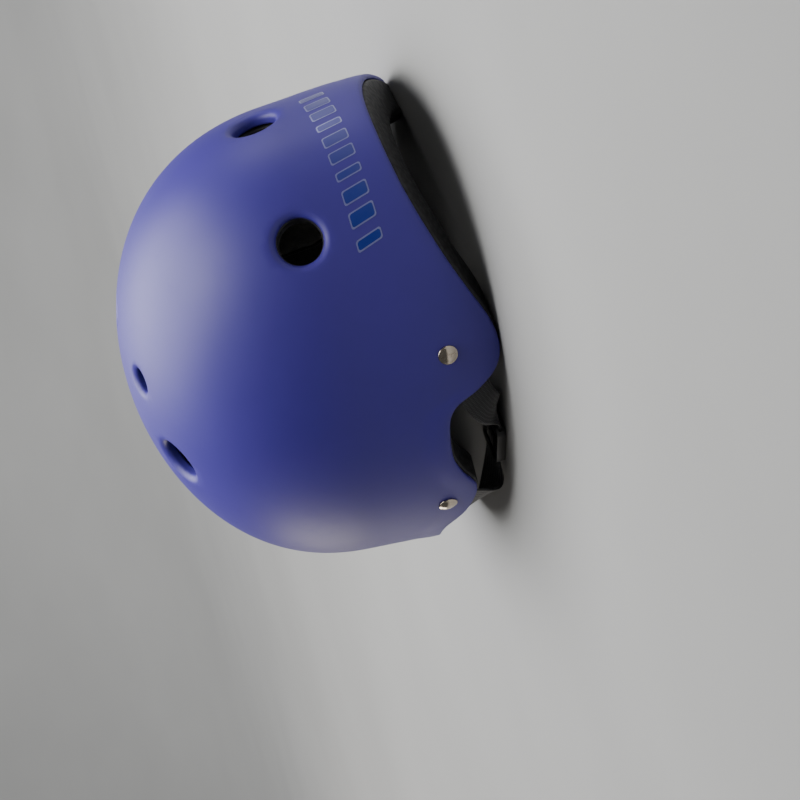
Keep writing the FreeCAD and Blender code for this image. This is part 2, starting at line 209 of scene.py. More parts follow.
def named(name):
    """Names the object that was just added."""
    obj = bpy.context.object
    obj.name = obj.data.name = name
    return obj


def shade(obj, angle=None):
    make_active(obj)
    if angle is None:
        bpy.ops.object.shade_smooth()
    else:
        bpy.ops.object.shade_smooth_by_angle(angle=math.radians(angle))


def stand(obj):
    """Keeps a piece above the table."""
    points = mesh_points(obj)
    points[:, 2] = np.maximum(points[:, 2], 0.0)
    set_points(obj, points)


def modify(obj, kind, **settings):
    """Adds a modifier and applies it."""
    make_active(obj)
    modifier = obj.modifiers.new(kind.title(), kind)
    for key, value in settings.items():
        setattr(modifier, key, value)
    bpy.ops.object.modifier_apply(modifier=modifier.name)


# ---------------------------------------------------------------- walls that follow the dome

def wall_rings(turn, outer, inner, drop, rolls, shape):
    """Rings of points from the outer crown, over the rim and back up to the inner crown.

    rolls are the radii of the rim's outer and inner corner. shape(point, turn, to_rim, side)
    moves the points of each surface."""
    out_end = rim_polar(turn, outer, drop)
    in_end = rim_polar(turn, inner, drop)
    steps_out = np.concatenate([np.linspace(0, 0.88, 46), np.linspace(0.88, 1, 17)[1:]])
    steps_in = np.concatenate([np.linspace(1, 0.88, 7), np.linspace(0.88, 0, 24)[1:]])

    def surface(share, end, depth, corner, side):
        reach = end * (1 - corner * MM / RIM_REACH)
        u, v = wrap(np.maximum(share * reach, 1e-6), turn)
        to_rim = (1 - share) * RIM_REACH / MM
        return shape(dome(u, v, depth), dome_normal(u, v), turn, to_rim, side)

    out_rings = [surface(s, out_end, outer, rolls[0], 0) for s in steps_out]
    in_rings = [surface(s, in_end, inner, rolls[1], 1) for s in steps_in]
    start, finish = out_rings[-1], in_rings[0]
    down = out_rings[-1] - out_rings[-2]
    down = unit(down)
    across = finish - start
    width = np.linalg.norm(across, axis=1, keepdims=True)
    across /= width
    edge = []
    corner = np.linspace(0, math.pi / 2, 6)
    for angle in corner[1:]:
        edge.append(start + down * rolls[0] * math.sin(angle) + across * rolls[0] * (1 - math.cos(angle)))
    foot_out = edge[-1]
    foot_in = finish + down * rolls[1] - across * rolls[1]
    spread = float(width.mean()) - sum(rolls)
    for share in np.linspace(0, 1, 2 + int(spread / 3))[1:-1] if spread > 1 else []:
        edge.append(foot_out * (1 - share) + foot_in * share)
    for angle in corner[(1 if spread <= 1 else 0):-1]:
        edge.append(finish + down * rolls[1] * math.cos(angle) - across * rolls[1] * (1 - math.sin(angle)))
    return out_rings, edge, in_rings


def mesh_points(obj):
    place = np.zeros(len(obj.data.vertices) * 3)
    obj.data.vertices.foreach_get("co", place)
    return place.reshape(-1, 3)


def set_points(obj, points):
    obj.data.vertices.foreach_set("co", np.asarray(points, float).ravel())
    obj.data.update()


def laid_sphere(name, rings, first, last, convert=to_row):
    """A sphere whose rings are laid through the given points, from its top to its bottom.

    Returns the piece and the ring and place in the ring of each of its points."""
    grid = np.array(rings)
    count, segments = grid.shape[:2]
    deselect()
    bpy.ops.mesh.primitive_uv_sphere_add(segments=segments, ring_count=count + 1, radius=1)
    obj = named(name)
    place = mesh_points(obj)
    ring = np.rint(np.arccos(np.clip(place[:, 2], -1, 1)) / math.pi * (count + 1)).astype(int) - 1
    column = np.rint(np.arctan2(place[:, 1], place[:, 0]) / (2 * math.pi) * segments).astype(int) % segments
    body = (ring >= 0) & (ring < count)
    new = np.empty_like(place)
    new[body] = grid[ring[body], column[body]]
    new[ring < 0], new[ring >= count] = first, last
    set_points(obj, convert(new))
    return obj, ring, column


def laid_torus(name, rings, convert=to_row):
    """A torus whose rings are laid through the given points; both ways round it is closed."""
    grid = np.array(rings)
    count, segments = grid.shape[:2]
    deselect()
    bpy.ops.mesh.primitive_torus_add(major_segments=count, minor_segments=segments, major_radius=2, minor_radius=1)
    obj = named(name)
    place = mesh_points(obj)
    ring = np.rint(np.arctan2(place[:, 1], place[:, 0]) / (2 * math.pi) * count).astype(int) % count
    reach = np.hypot(place[:, 0], place[:, 1]) - 2
    column = np.rint(np.arctan2(place[:, 2], reach) / (2 * math.pi) * segments).astype(int) % segments
    set_points(obj, convert(grid[ring, column]))
    return obj, ring, column


def face_outwards(obj):
    make_active(obj)
    bpy.ops.object.mode_set(mode="EDIT")
    bpy.ops.mesh.select_all(action="SELECT")
    bpy.ops.mesh.normals_make_consistent(inside=False)
    bpy.ops.object.mode_set(mode="OBJECT")


def note(obj, name, values):
    """Writes a vector for each point, for a finish to read."""
    layer = obj.data.attributes.new(name, "FLOAT_VECTOR", "POINT")
    layer.data.foreach_set("vector", np.asarray(values, float).ravel())


def skin(name, segments, outer, inner, drop, rolls, shape):
    """A closed wall made from a sphere whose rings are laid along the wall."""
    turn = even_turns(segments, drop)
    out_rings, edge, in_rings = wall_rings(turn, outer, inner, drop, rolls, shape)
    rings = out_rings[1:] + edge + in_rings[:-1]
    obj, ring, _ = laid_sphere(name, rings, out_rings[0].mean(0), in_rings[-1].mean(0))
    flag = np.where(ring < len(out_rings) - 1, 0, np.where(ring >= len(out_rings) - 1 + len(edge), 2, 1))
    side = obj.data.attributes.new("wall_side", "INT", "POINT")
    side.data.foreach_set("value", flag.astype(np.int32))
    return obj


def vent_frame(turn_degrees, polar_degrees):
    """Centre, outward normal and two directions across a vent."""
    u, v = wrap(math.radians(polar_degrees), math.radians(turn_degrees))
    centre, normal = dome_surface(u, v), dome_normal(u, v)
    across = np.cross(normal, (0, 0, 1.0))
    across /= np.linalg.norm(across)
    return centre, normal, across, np.cross(normal, across)


def outside(points):
    """Whether points lie outside the outer surface."""
    x, y, z = points[:, 0], points[:, 1], points[:, 2]
    level = np.clip(z / DOME_HEIGHT, 0, 1)
    share = np.where(z >= 0, np.sqrt(np.clip(1 - level ** DOME_POWER, 0, 1)), 1 - LOWER_TAPER * (z / 100) ** 2)
    rise = np.clip((FLARE_TOP - z) / (FLARE_TOP - FLARE_BOTTOM), 0, 1)
    flare = FLARE_HEIGHT * rise * rise * (3 - 2 * rise)
    cosine = x / (HALF_LENGTH * share + flare + 1e-9)
    reach = (HALF_WIDTH * share * (1 - FRONT_NARROWING * cosine * share) + flare)
    return (np.abs(cosine) > 1) | (z > DOME_HEIGHT) | (np.abs(y) > reach * np.sqrt(np.clip(1 - cosine ** 2, 0, 1)))


def drop_to_dome(foot, normal):
    """How far along normal from foot the outer surface lies."""
    low, high = np.full(len(foot), -30.0), np.full(len(foot), 30.0)
    for _ in range(36):
        middle = (low + high) / 2
        out = outside(foot + normal * middle[:, None])
        low, high = np.where(out, low, middle), np.where(out, middle, high)
    return (low + high) / 2


def circle_heights(vent, radius):
    """Directions round a vent, and the height of the dome over them at a radius."""
    centre, normal, across, up = vent
    angle = circle(VENT_POINTS)
    spoke = np.cos(angle)[:, None] * across + np.sin(angle)[:, None] * up
    return spoke, drop_to_dome(centre + spoke * radius, normal)


def open_vent(obj, vent, rings, outer_radius, inner_radius):
    """Cuts both walls of a skin round a vent and joins them by rings of points, in millimetres."""
    centre, normal = vent[0], vent[1]
    work = bmesh.new()
    work.from_mesh(obj.data)
    side = work.verts.layers.int["wall_side"]
    origin, axis = Vector(to_row(centre)), Vector(normal)
    loops = [[work.verts.new(Vector(p)) for p in to_row(ring)] for ring in rings]
    for vert in [v for loop in loops for v in loop]:
        vert[side] = 1
    for wall, radius, loop in ((0, outer_radius, loops[0]), (2, inner_radius, loops[-1])):
        def near(vert):
            away = vert.co - origin
            along = away.dot(axis)
            return abs(along) < 0.05 and (away - axis * along).length < (radius + 1.3) * MM
        doomed = [f for f in work.faces if any(v[side] == wall and near(v) for v in f.verts)]
        touched = {e for f in doomed for e in f.edges}
        bmesh.ops.delete(work, geom=doomed, context="FACES")
        border = [e for e in touched if e.is_valid and e.is_boundary]
        circle = [work.edges.new((loop[i], loop[(i + 1) % len(loop)])) for i in range(len(loop))]
        bmesh.ops.triangle_fill(work, use_beauty=True, use_dissolve=False, edges=border + circle, normal=axis)
    for first, second in zip(loops, loops[1:]):
        for i in range(len(first)):
            j = (i + 1) % len(first)
            work.faces.new((first[i], first[j], second[j], second[i]))
    bmesh.ops.holes_fill(work, edges=[e for e in work.edges if e.is_boundary], sides=0)
    loose = [v for v in work.verts if not v.link_faces]
    bmesh.ops.delete(work, geom=loose, context="VERTS")
    bmesh.ops.recalc_face_normals(work, faces=work.faces)
    work.to_mesh(obj.data)
    work.free()


def ring_at(vent, spoke, radius, height):
    height = np.broadcast_to(np.asarray(height, float), (len(spoke),))
    return vent[0] + spoke * radius + vent[1] * height[:, None]


def shell_vent(obj, vent, hole, dish):
    """A vent whose edge rolls into a short tube."""
    roll = dish - hole
    lip_wall, lip_depth = 2.2, 7.6
    spoke, rim = circle_heights(vent, dish)
    _, nearer = circle_heights(vent, dish - 1)
    slope = rim - nearer
    rings = [ring_at(vent, spoke, dish, rim)]
    first = math.radians(DISH_CREASE)
    for angle in np.linspace(first, math.pi / 2, 9)[1:]:
        radius = hole + roll * (1 - math.sin(angle)) / (1 - math.sin(first))
        lean = slope * (radius - dish) * math.cos(angle)
        rings.append(ring_at(vent, spoke, radius, rim + lean - roll * (math.cos(first) - math.cos(angle))))
    level = rim - roll
    for share in (0.35, 0.75):
        rings.append(ring_at(vent, spoke, hole, level * (1 - share) - (lip_depth - lip_wall / 2) * share))
    for angle in np.linspace(0, math.pi, 7):
        radius = hole + lip_wall / 2 * (1 - math.cos(angle))
        rings.append(ring_at(vent, spoke, radius, -lip_depth + lip_wall / 2 * (1 - math.sin(angle))))
    tube = hole + lip_wall
    _, top = circle_heights(vent, tube)
    rings.append(ring_at(vent, spoke, tube, top - SHELL_WALL))
    open_vent(obj, vent, rings, dish, tube)


def liner_vent(obj, vent, hole):
    """The foam's hole: a seat for the shell's tube, then the bore, eased into the inside."""
    seat, bore, ease_radius, floor = hole + 2.8, hole - 0.8, 4.0, -8.4
    spoke, top = circle_heights(vent, seat)
    outer = top - SHELL_WALL - LINER_GAP
    line = [(seat, outer), (seat, outer * 0.3 + floor * 0.7), (seat, floor + 0.4), (seat - 0.4, floor),
            (bore + 0.8, floor), (bore + 0.25, floor - 0.25), (bore, floor - 0.8)]
    rings = [ring_at(vent, spoke, radius, height) for radius, height in line]
    _, top = circle_heights(vent, bore + ease_radius)
    inner = top - SHELL_WALL - LINER_GAP - LINER_WALL
    for angle in np.linspace(0, math.pi / 2, 6):
        radius = bore + ease_radius * (1 - math.cos(angle))
        rings.append(ring_at(vent, spoke, radius, inner + ease_radius * (1 - math.sin(angle))))
    open_vent(obj, vent, rings, seat, bore + ease_radius)


def all_vents():
    for turn, polar, hole, dish in VENTS:
        for side in (1, -1):
            yield vent_frame(side * turn, polar), hole, dish


def flared(point, normal, turn, to_rim, side):
    """The shell's rim stands a little further out in a soft band."""
    strength = 0.9 - 0.6 * np.clip(np.cos(turn), 0, 1) ** 2
    return point + normal * (strength * ease(1 - to_rim / 15.0))[:, None]


def make_shell():
    shell = skin("shell", 480, 0.0, SHELL_WALL, 0.0, (1.4, 1.4), flared)
    for vent, hole, dish in all_vents():
        shell_vent(shell, vent, hole, dish)
    shade(shell)
    return shell


def channelled(point, normal, turn, to_rim, side):
    """The foam's outer side gives way to the webbing that runs down between it and the shell."""
    point = flared(point, normal, turn, to_rim, side)
    if side == 1:
        return point
    sink = np.zeros(len(point))
    for x, height, heading, run in RIVETS.values():
        ahead = np.array([math.cos(math.radians(heading)), math.sin(math.radians(heading))])
        away = point[:, [0, 2]] - (x, height)
        along = away @ ahead
        beside = np.abs(away @ (-ahead[1], ahead[0]))
        sink = np.maximum(sink, ease((13.5 - beside) / 4) * ease((along + 16) / 5))
    return point - normal * (CHANNEL_DEPTH * sink)[:, None]


def make_liner():
    outer = SHELL_WALL + LINER_GAP
    liner = skin("liner", 400, outer, outer + LINER_WALL, LINER_DROP, (1.2, 5.0), channelled)
    for vent, hole, dish in all_vents():
        liner_vent(liner, vent, hole)
    stand(liner)
    shade(liner)
    return liner


# ---------------------------------------------------------------- mesh pieces built up from blocks and turnings

def in_mm(points):
    """Millimetres above the table to metres."""
    return np.asarray(points) * MM


def block(name, low, high, soft=0.0, steps=3, upright_only=False):
    """A box between two corners, in millimetres above the table, with softened edges."""
    low, high = np.array(low, float), np.array(high, float)
    deselect()
    bpy.ops.mesh.primitive_cube_add(size=1)
    obj = named(name)
    set_points(obj, in_mm((low + high) / 2 + mesh_points(obj) * (high - low)))
    if soft:
        bpy.ops.object.mode_set(mode="EDIT")
        bpy.ops.mesh.select_mode(type="EDGE")
        bpy.ops.mesh.select_all(action="SELECT")
        if upright_only:
            work = bmesh.from_edit_mesh(obj.data)
            for edge in work.edges:
                edge.select_set(abs((edge.verts[0].co - edge.verts[1].co).z) > 1e-6)
            work.select_flush_mode()
            bmesh.update_edit_mesh(obj.data)
        bpy.ops.mesh.bevel(offset=soft * MM, segments=steps, affect="EDGES")
        bpy.ops.object.mode_set(mode="OBJECT")
    return obj


def plate(name, outline, low, high):
    """A flat outline drawn up from low to high."""
    deselect()
    bpy.ops.mesh.primitive_circle_add(vertices=len(outline), radius=1, fill_type="NGON")
    obj = named(name)
    set_points(obj, in_mm([(x, y, low) for x, y in outline]))
    bpy.ops.object.mode_set(mode="EDIT")
    bpy.ops.mesh.select_all(action="SELECT")
    bpy.ops.mesh.extrude_region_move(TRANSFORM_OT_translate={"value": (0, 0, (high - low) * MM)})
    bpy.ops.object.mode_set(mode="OBJECT")
    face_outwards(obj)
    return obj


def combine(body, tool, operation="DIFFERENCE"):
    modify(body, "BOOLEAN", operation=operation, object=tool, solver="EXACT")
    bpy.data.objects.remove(tool)


def cut(body, half, y, z, soft, steps=2, upright_only=False, x=DIVIDER_X):
    """Cuts a block out of a body: half its width about x, then its y and z from low to high."""
    combine(body, block("cut", (x - half, y[0], z[0]), (x + half, y[1], z[1]), soft, steps, upright_only))


def add(body, half, y, z, soft, steps=2, x=DIVIDER_X):
    """Adds a block to a body, laid out as in cut."""
    combine(body, block("added", (x - half, y[0], z[0]), (x + half, y[1], z[1]), soft, steps), "UNION")


def soften(obj, width, steps=2, angle=35):
    """Rounds the edges that moulding would round."""
    modify(obj, "BEVEL", width=width * MM, segments=steps, limit_method="ANGLE", angle_limit=math.radians(angle),
           harden_normals=False)
    shade(obj, 40)


def join(name, parts):
    """Joins parts into the first of them."""
    deselect()
    for part in parts:
        part.select_set(True)
    bpy.context.view_layer.objects.active = parts[0]
    bpy.ops.object.join()
    parts[0].name = parts[0].data.name = name
    return parts[0]


def turned(name, profile, centre, normal, steps=40):
    """A turned piece: a profile of radius and height spun about an axis."""
    normal = np.asarray(normal, float)
    side = np.cross(normal, (0.0, 0.0, 1.0))
    side /= np.linalg.norm(side)
    other = np.cross(normal, side)
    angle = circle(steps)
    spoke = np.cos(angle)[:, None] * side + np.sin(angle)[:, None] * other
    rings = [centre + spoke * radius + normal * height for radius, height in profile]
    if profile[0][0] > 0:
        obj, _, _ = laid_torus(name, np.array(rings).transpose(1, 0, 2))
    else:
        first, last = centre + normal * profile[0][1], centre + normal * profile[-1][1]
        obj, _, _ = laid_sphere(name, rings[1:-1], first, last)
    face_outwards(obj)
    shade(obj, 50)
    return obj


def side_point(x, height, depth, side):
    """The point at a depth under the shell that is seen at x and height from one side, and its normal."""
    polar = np.arccos(np.asarray(height, float) / DOME_HEIGHT)
    share = 1 - LOWER_TAPER * (np.asarray(height, float) / 100) ** 2
    rise = ease((FLARE_TOP - np.asarray(height, float)) / (FLARE_TOP - FLARE_BOTTOM))
    turn = np.arccos(np.clip(np.asarray(x, float) / (HALF_LENGTH * share + FLARE_HEIGHT * rise), -1, 1)) * side
    u, v = wrap(polar, turn)
    return dome(u, v, depth), dome_normal(u, v)


# ---------------------------------------------------------------- webbing

def webbing_section(ribs=9, fine=3):
    """Across and rise of the points round a woven band: lengthwise ribs and round selvedges."""
    half, wall = WEBBING_WIDTH / 2, WEBBING_WALL / 2
    across = np.linspace(-half + 0.6, half - 0.6, ribs * fine + 1)
    rib = 0.09 * np.cos(np.arange(len(across)) / fine * 2 * math.pi)
    upper = [(a, wall - 0.09 - r) for a, r in zip(across, rib)]
    edge = [(half - 0.6 + 0.6 * math.sin(t), (wall - 0.1) * math.cos(t)) for t in (0.9, math.pi / 2, math.pi - 0.9)]
    section = upper + edge + [(a, -b) for a, b in upper[::-1]] + [(-a, -b) for a, b in edge]
    return np.array(section)


def band(name, centres, widths):
    """A woven band through the given centres; widths are the directions across it."""
    centres, widths = np.asarray(centres, float), np.asarray(widths, float)
    run = np.gradient(centres, axis=0)
    run = unit(run)
    widths = widths - run * (widths * run).sum(1, keepdims=True)
    widths = unit(widths)
    rise = np.cross(run, widths)
    section = webbing_section()
    length = run_along(centres)
    rings = [c + section[:, :1] * w + section[:, 1:] * r for c, w, r in zip(centres, widths, rise)]
    first, last = centres[0] - run[0] * 0.02, centres[-1] + run[-1] * 0.02
    obj, ring, column = laid_sphere(name, rings, first, last, in_mm)
    inside = np.clip(ring, 0, len(rings) - 1)
    weave = np.stack([length[inside], section[column, 0], section[column, 1]], -1)
    note(obj, "weave", weave * MM)
    face_outwards(obj)
    shade(obj, 60)
    return obj


def path(points, step):
    """Evenly spaced places on a smooth line through points."""
    line = smooth_line3(points)
    run = run_along(line)
    places = np.linspace(0, run[-1], max(int(run[-1] / step), 4))
    return np.stack([np.interp(places, run, line[:, i]) for i in range(3)], -1)


def smooth_line3(points, each=14):
    ends = with_ends(points)
    made = []
    for a, b, c, d in zip(ends, ends[1:], ends[2:], ends[3:]):
        for f in np.linspace(0, 1, each, endpoint=False):
            made.append(catmull(a, b, c, d, f))
    return np.array(made + [ends[-2]])


def stitches(name, rows, normal_at, convert=in_mm, length=2.1, gap=0.9, thick=0.42):
    """Rows of thread stitches: each row is a list of points; normal_at gives the way out of the cloth."""
    made = []
    for row in rows:
        line = path(row, 0.5)
        run = run_along(line)
        for start in np.arange(0.3, run[-1] - length, length + gap):
            a, b = (np.array([np.interp(t, run, line[:, i]) for i in range(3)]) for t in (start, start + length))
            made.append((a, b, np.asarray(normal_at((a + b) / 2), float)))
    grid = []
    for a, b, normal in made:
        ahead = (b - a) / np.linalg.norm(b - a)
        across = np.cross(normal, ahead)
        across /= np.linalg.norm(across)
        angle = circle(6)
        spoke = np.cos(angle)[:, None] * across + np.sin(angle)[:, None] * normal * 0.8
        rings = []
        for share, size in ((0.06, 0.55), (0.3, 1.0), (0.7, 1.0), (0.94, 0.55)):
            middle = a + (b - a) * share + normal * thick * (0.35 * math.sin(share * math.pi) - 0.05)
            rings.append(middle + spoke * thick * size)
        grid.append((rings, a - normal * thick * 0.3, b - normal * thick * 0.3))
    master, ring, column = laid_sphere(name, *grid[0], convert)
    parts, place = [master], mesh_points(master)
    for rings, first, last in grid[1:]:
        copy = master.copy()
        copy.data = master.data.copy()
        bpy.context.scene.collection.objects.link(copy)
        new = np.empty_like(place)
        body = (ring >= 0) & (ring < len(rings))
        new[body] = np.array(rings)[ring[body], column[body]]
        new[ring < 0], new[ring >= len(rings)] = first, last
        set_points(copy, convert(new))
        parts.append(copy)
    thread = join(name, parts)
    face_outwards(thread)
    shade(thread)
    return thread


def strap_path(end, side):
    """The way of one strap: from behind its rivet down under the shell, out and round into the divider."""
    x, height, heading, run = RIVETS[end]
    ahead = np.array([math.cos(math.radians(heading)), 0, math.sin(math.radians(heading))])
    steps = np.linspace(-9, run, 16)
    under, normal = side_point(x + steps * ahead[0], height + steps * ahead[2], WEBBING_DEPTH, side)
    under = under + (0, 0, WIDEST_LEVEL)
    start = under[-1]
    run_out = under[-1] - under[-2]
    run_out /= np.linalg.norm(run_out)
    forward = 1 if end == "front" else -1
    goal = np.array([DIVIDER_X + forward * (DIVIDER_LENGTH / 2 + 0.3), side * DIVIDER_Y, STRAP_LEVEL])
    pull = np.linalg.norm(goal - start) * (0.55 if end == "front" else 0.62)
    handles = [start, start + run_out * pull, goal + np.array([forward * pull, 0, 0]), goal]
    t = np.linspace(0, 1, 34)[1:, None]
    leg = handles[0] * (1 - t) ** 3 + handles[1] * 3 * t * (1 - t) ** 2
    leg = leg + handles[2] * 3 * t * t * (1 - t) + handles[3] * t ** 3
    inner = np.array([goal - np.array([forward * d, 0, 0]) for d in (2.5, 5.0, 7.2, 9.2)])
    centres = np.vstack([under, leg, inner])
    across = np.cross(normal, run_out)
    across *= np.sign(across[-1, 1] * side) if abs(across[-1, 1]) > 1e-6 else 1
    across_end = np.array([0, float(side), 0])
    widths = np.vstack([across, across[-1] * (1 - t) + across_end * t, np.tile(across_end, (len(inner), 1))])
    return centres, widths, start


def make_strap(end, side_name):
    side = SIDES[side_name]
    centres, widths, start = strap_path(end, side)
    strap = band(f"{end}_strap_{side_name}", centres, widths)
    finish_piece(strap, webbing)
    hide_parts(f"{end}_strap_end_{side_name}", f"{end}_webbing_{side_name}")
    way = np.array((-0.7, -0.2 * side, -0.65)) if end == "front" else np.array((0, -0.5 * side, -0.85))
    in_mm(start - way * 2.5)
    in_mm(start + way * 4.5)
    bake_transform(strap)


def flat_band(name, level_points):
    """A band that lies along Y, through pairs of y and height."""
    centres = path([(DIVIDER_X, y, z) for y, z in level_points], 1.2)
    return band(name, centres, np.tile((1.0, 0.0, 0.0), (len(centres), 1)))


# ---------------------------------------------------------------- finishes

class Link:
    """A node's output, so that shader maths reads as ordinary maths."""

    def __init__(self, finish, socket):
        self.finish, self.socket = finish, socket

    def maths(self, operation, *others):
        values = {i: v for i, v in enumerate((self,) + others)}
        return self.finish.node("ShaderNodeMath", {"operation": operation}, values)

    def __add__(self, other):
        return self.maths("ADD", other)

    def __mul__(self, other):
        return self.maths("MULTIPLY", other)

    def __sub__(self, other):
        return self.maths("SUBTRACT", other)

    def __rsub__(self, other):
        return (self * -1) + other

    __radd__, __rmul__ = __add__, __mul__

    def out(self, name):
        return Link(self.finish, self.socket.node.outputs[name])


class Finish:
    """A material built on one Principled shader."""

    def __init__(self, name, colour, roughness, metallic=0.0, **fixed):
        self.material = bpy.data.materials.new(name)
        self.material.use_nodes = True
        self.tree = self.material.node_tree
        self.shader = self.tree.nodes["Principled BSDF"]
        self.set("Base Color", (*colour, 1))
        self.set("Roughness", roughness)
        self.set("Metallic", metallic)
        for key, value in fixed.items():
            self.set(key.replace("_", " ").title().replace("Ior", "IOR"), value)

    def node(self, kind, settings=None, inputs=None):
        made = self.tree.nodes.new(kind)
        for key, value in (settings or {}).items():
            setattr(made, key, value)
        for key, value in (inputs or {}).items():
            self.feed(made.inputs[key], value)
        return Link(self, next(s for s in made.outputs if s.enabled))

    def feed(self, socket, value):
        if isinstance(value, Link):
            self.tree.links.new(value.socket, socket)
        else:
            socket.default_value = value

    def set(self, name, value):
        self.feed(self.shader.inputs[name], value)

    def place(self):
        return self.node("ShaderNodeTexCoord").out("Object")

    def noise(self, scale, detail=3.0, rough=0.5):
        return self.node("ShaderNodeTexNoise", None,
                         {"Vector": self.place(), "Scale": scale, "Detail": detail, "Roughness": rough})

    def mix(self, factor, first, second):
        inputs = {"Factor": factor, 6: first, 7: second}
        made = self.tree.nodes.new("ShaderNodeMix")
        made.data_type = "RGBA"
        for key, value in inputs.items():
            self.feed(made.inputs[key], value)
        return Link(self, made.outputs[2])

    def tint(self, factor, first, second):
        """Sets the base colour to a mixture of two."""
        self.set("Base Color", self.mix(factor, (*first, 1), (*second, 1)))

    def cells(self, scale):
        return self.node("ShaderNodeTexVoronoi", {"feature": "F1"}, {"Vector": self.place(), "Scale": scale})

    def spread(self, value, low, high):
        """Maps a value from a range to 0..1, held within it."""
        return self.node("ShaderNodeMapRange", {"clamp": True},
                         {"Value": value, "From Min": low, "From Max": high})

    def bump(self, height, distance, strength=1.0):
        made = self.node("ShaderNodeBump", None, {"Height": height, "Distance": distance, "Strength": strength})
        self.set("Normal", made)


def paint_finish():
    """Satin indigo paint: fine orange peel, slight cloudiness and faint handling marks."""
    paint = Finish("indigo satin paint", (0.041, 0.027, 0.26), 0.52, specular_ior_level=0.5)
    cloud = paint.noise(14, 4, 0.55)
    tint = paint.spread(cloud, 0.3, 0.7)
    paint.tint(tint, (0.040, 0.026, 0.25), (0.045, 0.029, 0.272))
    grain = paint.noise(2600, 2, 0.6)
    marks = paint.spread(paint.noise(60, 6, 0.7), 0.55, 0.8)
    paint.set("Roughness", 0.48 + 0.04 * tint + 0.05 * marks + 0.03 * grain)
    paint.bump(grain + 0.8 * paint.noise(700, 2, 0.5), 0.00003, 0.5)
    return paint.material


def foam_finish():
    """Black skinned foam with its beads just showing."""
    foam = Finish("black foam", (0.012, 0.012, 0.013), 0.62)
    beads = foam.cells(330)
    tone = foam.spread(beads, 0.1, 0.8)
    foam.tint(tone, (0.016, 0.016, 0.017), (0.009, 0.009, 0.010))
    foam.set("Roughness", 0.55 + 0.15 * tone)
    foam.bump(1 - tone + 0.3 * foam.noise(900, 2), 0.00018, 0.6)
    return foam.material


def fabric_weave(fabric):
    """Along and across the woven band, from the vector kept on its points."""
    kept = fabric.node("ShaderNodeAttribute", {"attribute_name": "weave"}).out("Vector")
    parts = fabric.node("ShaderNodeSeparateXYZ", None, {"Vector": kept})
    return parts.out("X"), parts.out("Y")


def webbing_finish():
    """Black polyester webbing: slanting picks between lengthwise ribs, dull with a little sheen, with painted
    highlight on the raised threads and painted shade between them.
    """
    cloth = Finish("black webbing", (0.013, 0.013, 0.014), 0.62, sheen_weight=0.25, sheen_roughness=0.45)
    along, across = fabric_weave(cloth)
    turns = 2 * math.pi
    slant = (along * (turns / 0.0011) + (across * (turns / 0.0019)).maths("SINE") * 1.6).maths("SINE")
    picks = slant * 0.5 + 0.5
    ribs = (across * (turns / 0.0019)).maths("COSINE") * 0.5 + 0.5
    height = picks * (0.45 + 0.55 * ribs)
    fuzz = cloth.noise(2200, 3, 0.6)
    # painted highlight and shade: the raised threads are painted lighter and the hollows between them darker
    cloth.tint(height * 0.8 + 0.2 * fuzz, (0.008, 0.008, 0.009), (0.030, 0.030, 0.032))
    cloth.set("Roughness", 0.5 + 0.2 * (1 - height) + 0.08 * fuzz)
    cloth.bump(height + 0.35 * fuzz, 0.00016, 0.8)
    return cloth.material


def pad_finish(name, dark, pale):
    """Brushed pad fabric: mottled, with a fine knit."""
    cloth = Finish(name, pale, 0.85, sheen_weight=0.5, sheen_roughness=0.4)
    mottle = cloth.spread(cloth.noise(170, 5, 0.65), 0.36, 0.64)
    fleck = cloth.spread(cloth.noise(900, 3, 0.7), 0.4, 0.66)
    tone = mottle * 0.65 + fleck * 0.35
    cloth.tint(tone, dark, pale)
    knit = cloth.cells(900)
    cloth.set("Roughness", 0.78 + 0.15 * tone)
    cloth.bump(knit + 0.6 * cloth.noise(1500, 3, 0.7) + 0.5 * mottle, 0.00022, 0.7)
    return cloth.material


def binding_finish():
    """Black knitted tape that binds the pads' edges."""
    cloth = Finish("black binding", (0.012, 0.012, 0.013), 0.75, sheen_weight=0.3, sheen_roughness=0.5)
    knit = cloth.cells(1300)
    tone = cloth.spread(knit, 0.1, 0.7)
    cloth.tint(tone, (0.022, 0.022, 0.024), (0.008, 0.008, 0.009))
    cloth.set("Roughness", 0.68 + 0.15 * tone)
    cloth.bump(1 - tone, 0.00012, 0.7)
    return cloth.material


def hook_finish():
    """Hook tape: a dense field of tiny stiff hooks."""
    tape = Finish("black hook tape", (0.014, 0.014, 0.015), 0.7)
    hooks = tape.cells(1100)
    tone = tape.spread(hooks, 0.05, 0.6)
    tape.tint(tone, (0.05, 0.05, 0.053), (0.006, 0.006, 0.007))
    tape.set("Roughness", 0.5 + 0.3 * tone)
    tape.bump(1 - tone, 0.0004, 0.9)
    return tape.material


def nickel_finish():
    """Bright nickel plate with fine handling scratches and a warm tint; the tint and its darker warm patches are
    partly real wear and partly painted warm reflection.
    """
    metal = Finish("bright nickel", (0.52, 0.45, 0.37), 0.2, 1.0)
    # darker warm patches: partly wear, partly painted warm reflection
    wear_and_warm_reflection = metal.spread(metal.noise(420, 5, 0.7), 0.45, 0.75)
    metal.tint(wear_and_warm_reflection, (0.56, 0.49, 0.40), (0.38, 0.31, 0.24))
    metal.set("Roughness", 0.16 + 0.16 * wear_and_warm_reflection + 0.05 * metal.noise(3000, 2))
    metal.bump(metal.noise(700, 4, 0.7), 0.00004, 0.5)
    return metal.material


def steel_finish():
    """Zinc-plated steel, slightly cloudy."""
    metal = Finish("zinc-plated steel", (0.55, 0.56, 0.57), 0.32, 1.0)
    cloud = metal.spread(metal.noise(260, 4, 0.6), 0.35, 0.7)
    metal.tint(cloud, (0.58, 0.59, 0.61), (0.42, 0.42, 0.43))
    metal.set("Roughness", 0.28 + 0.15 * cloud)
    metal.bump(metal.noise(1800, 3), 0.00003, 0.5)
    return metal.material


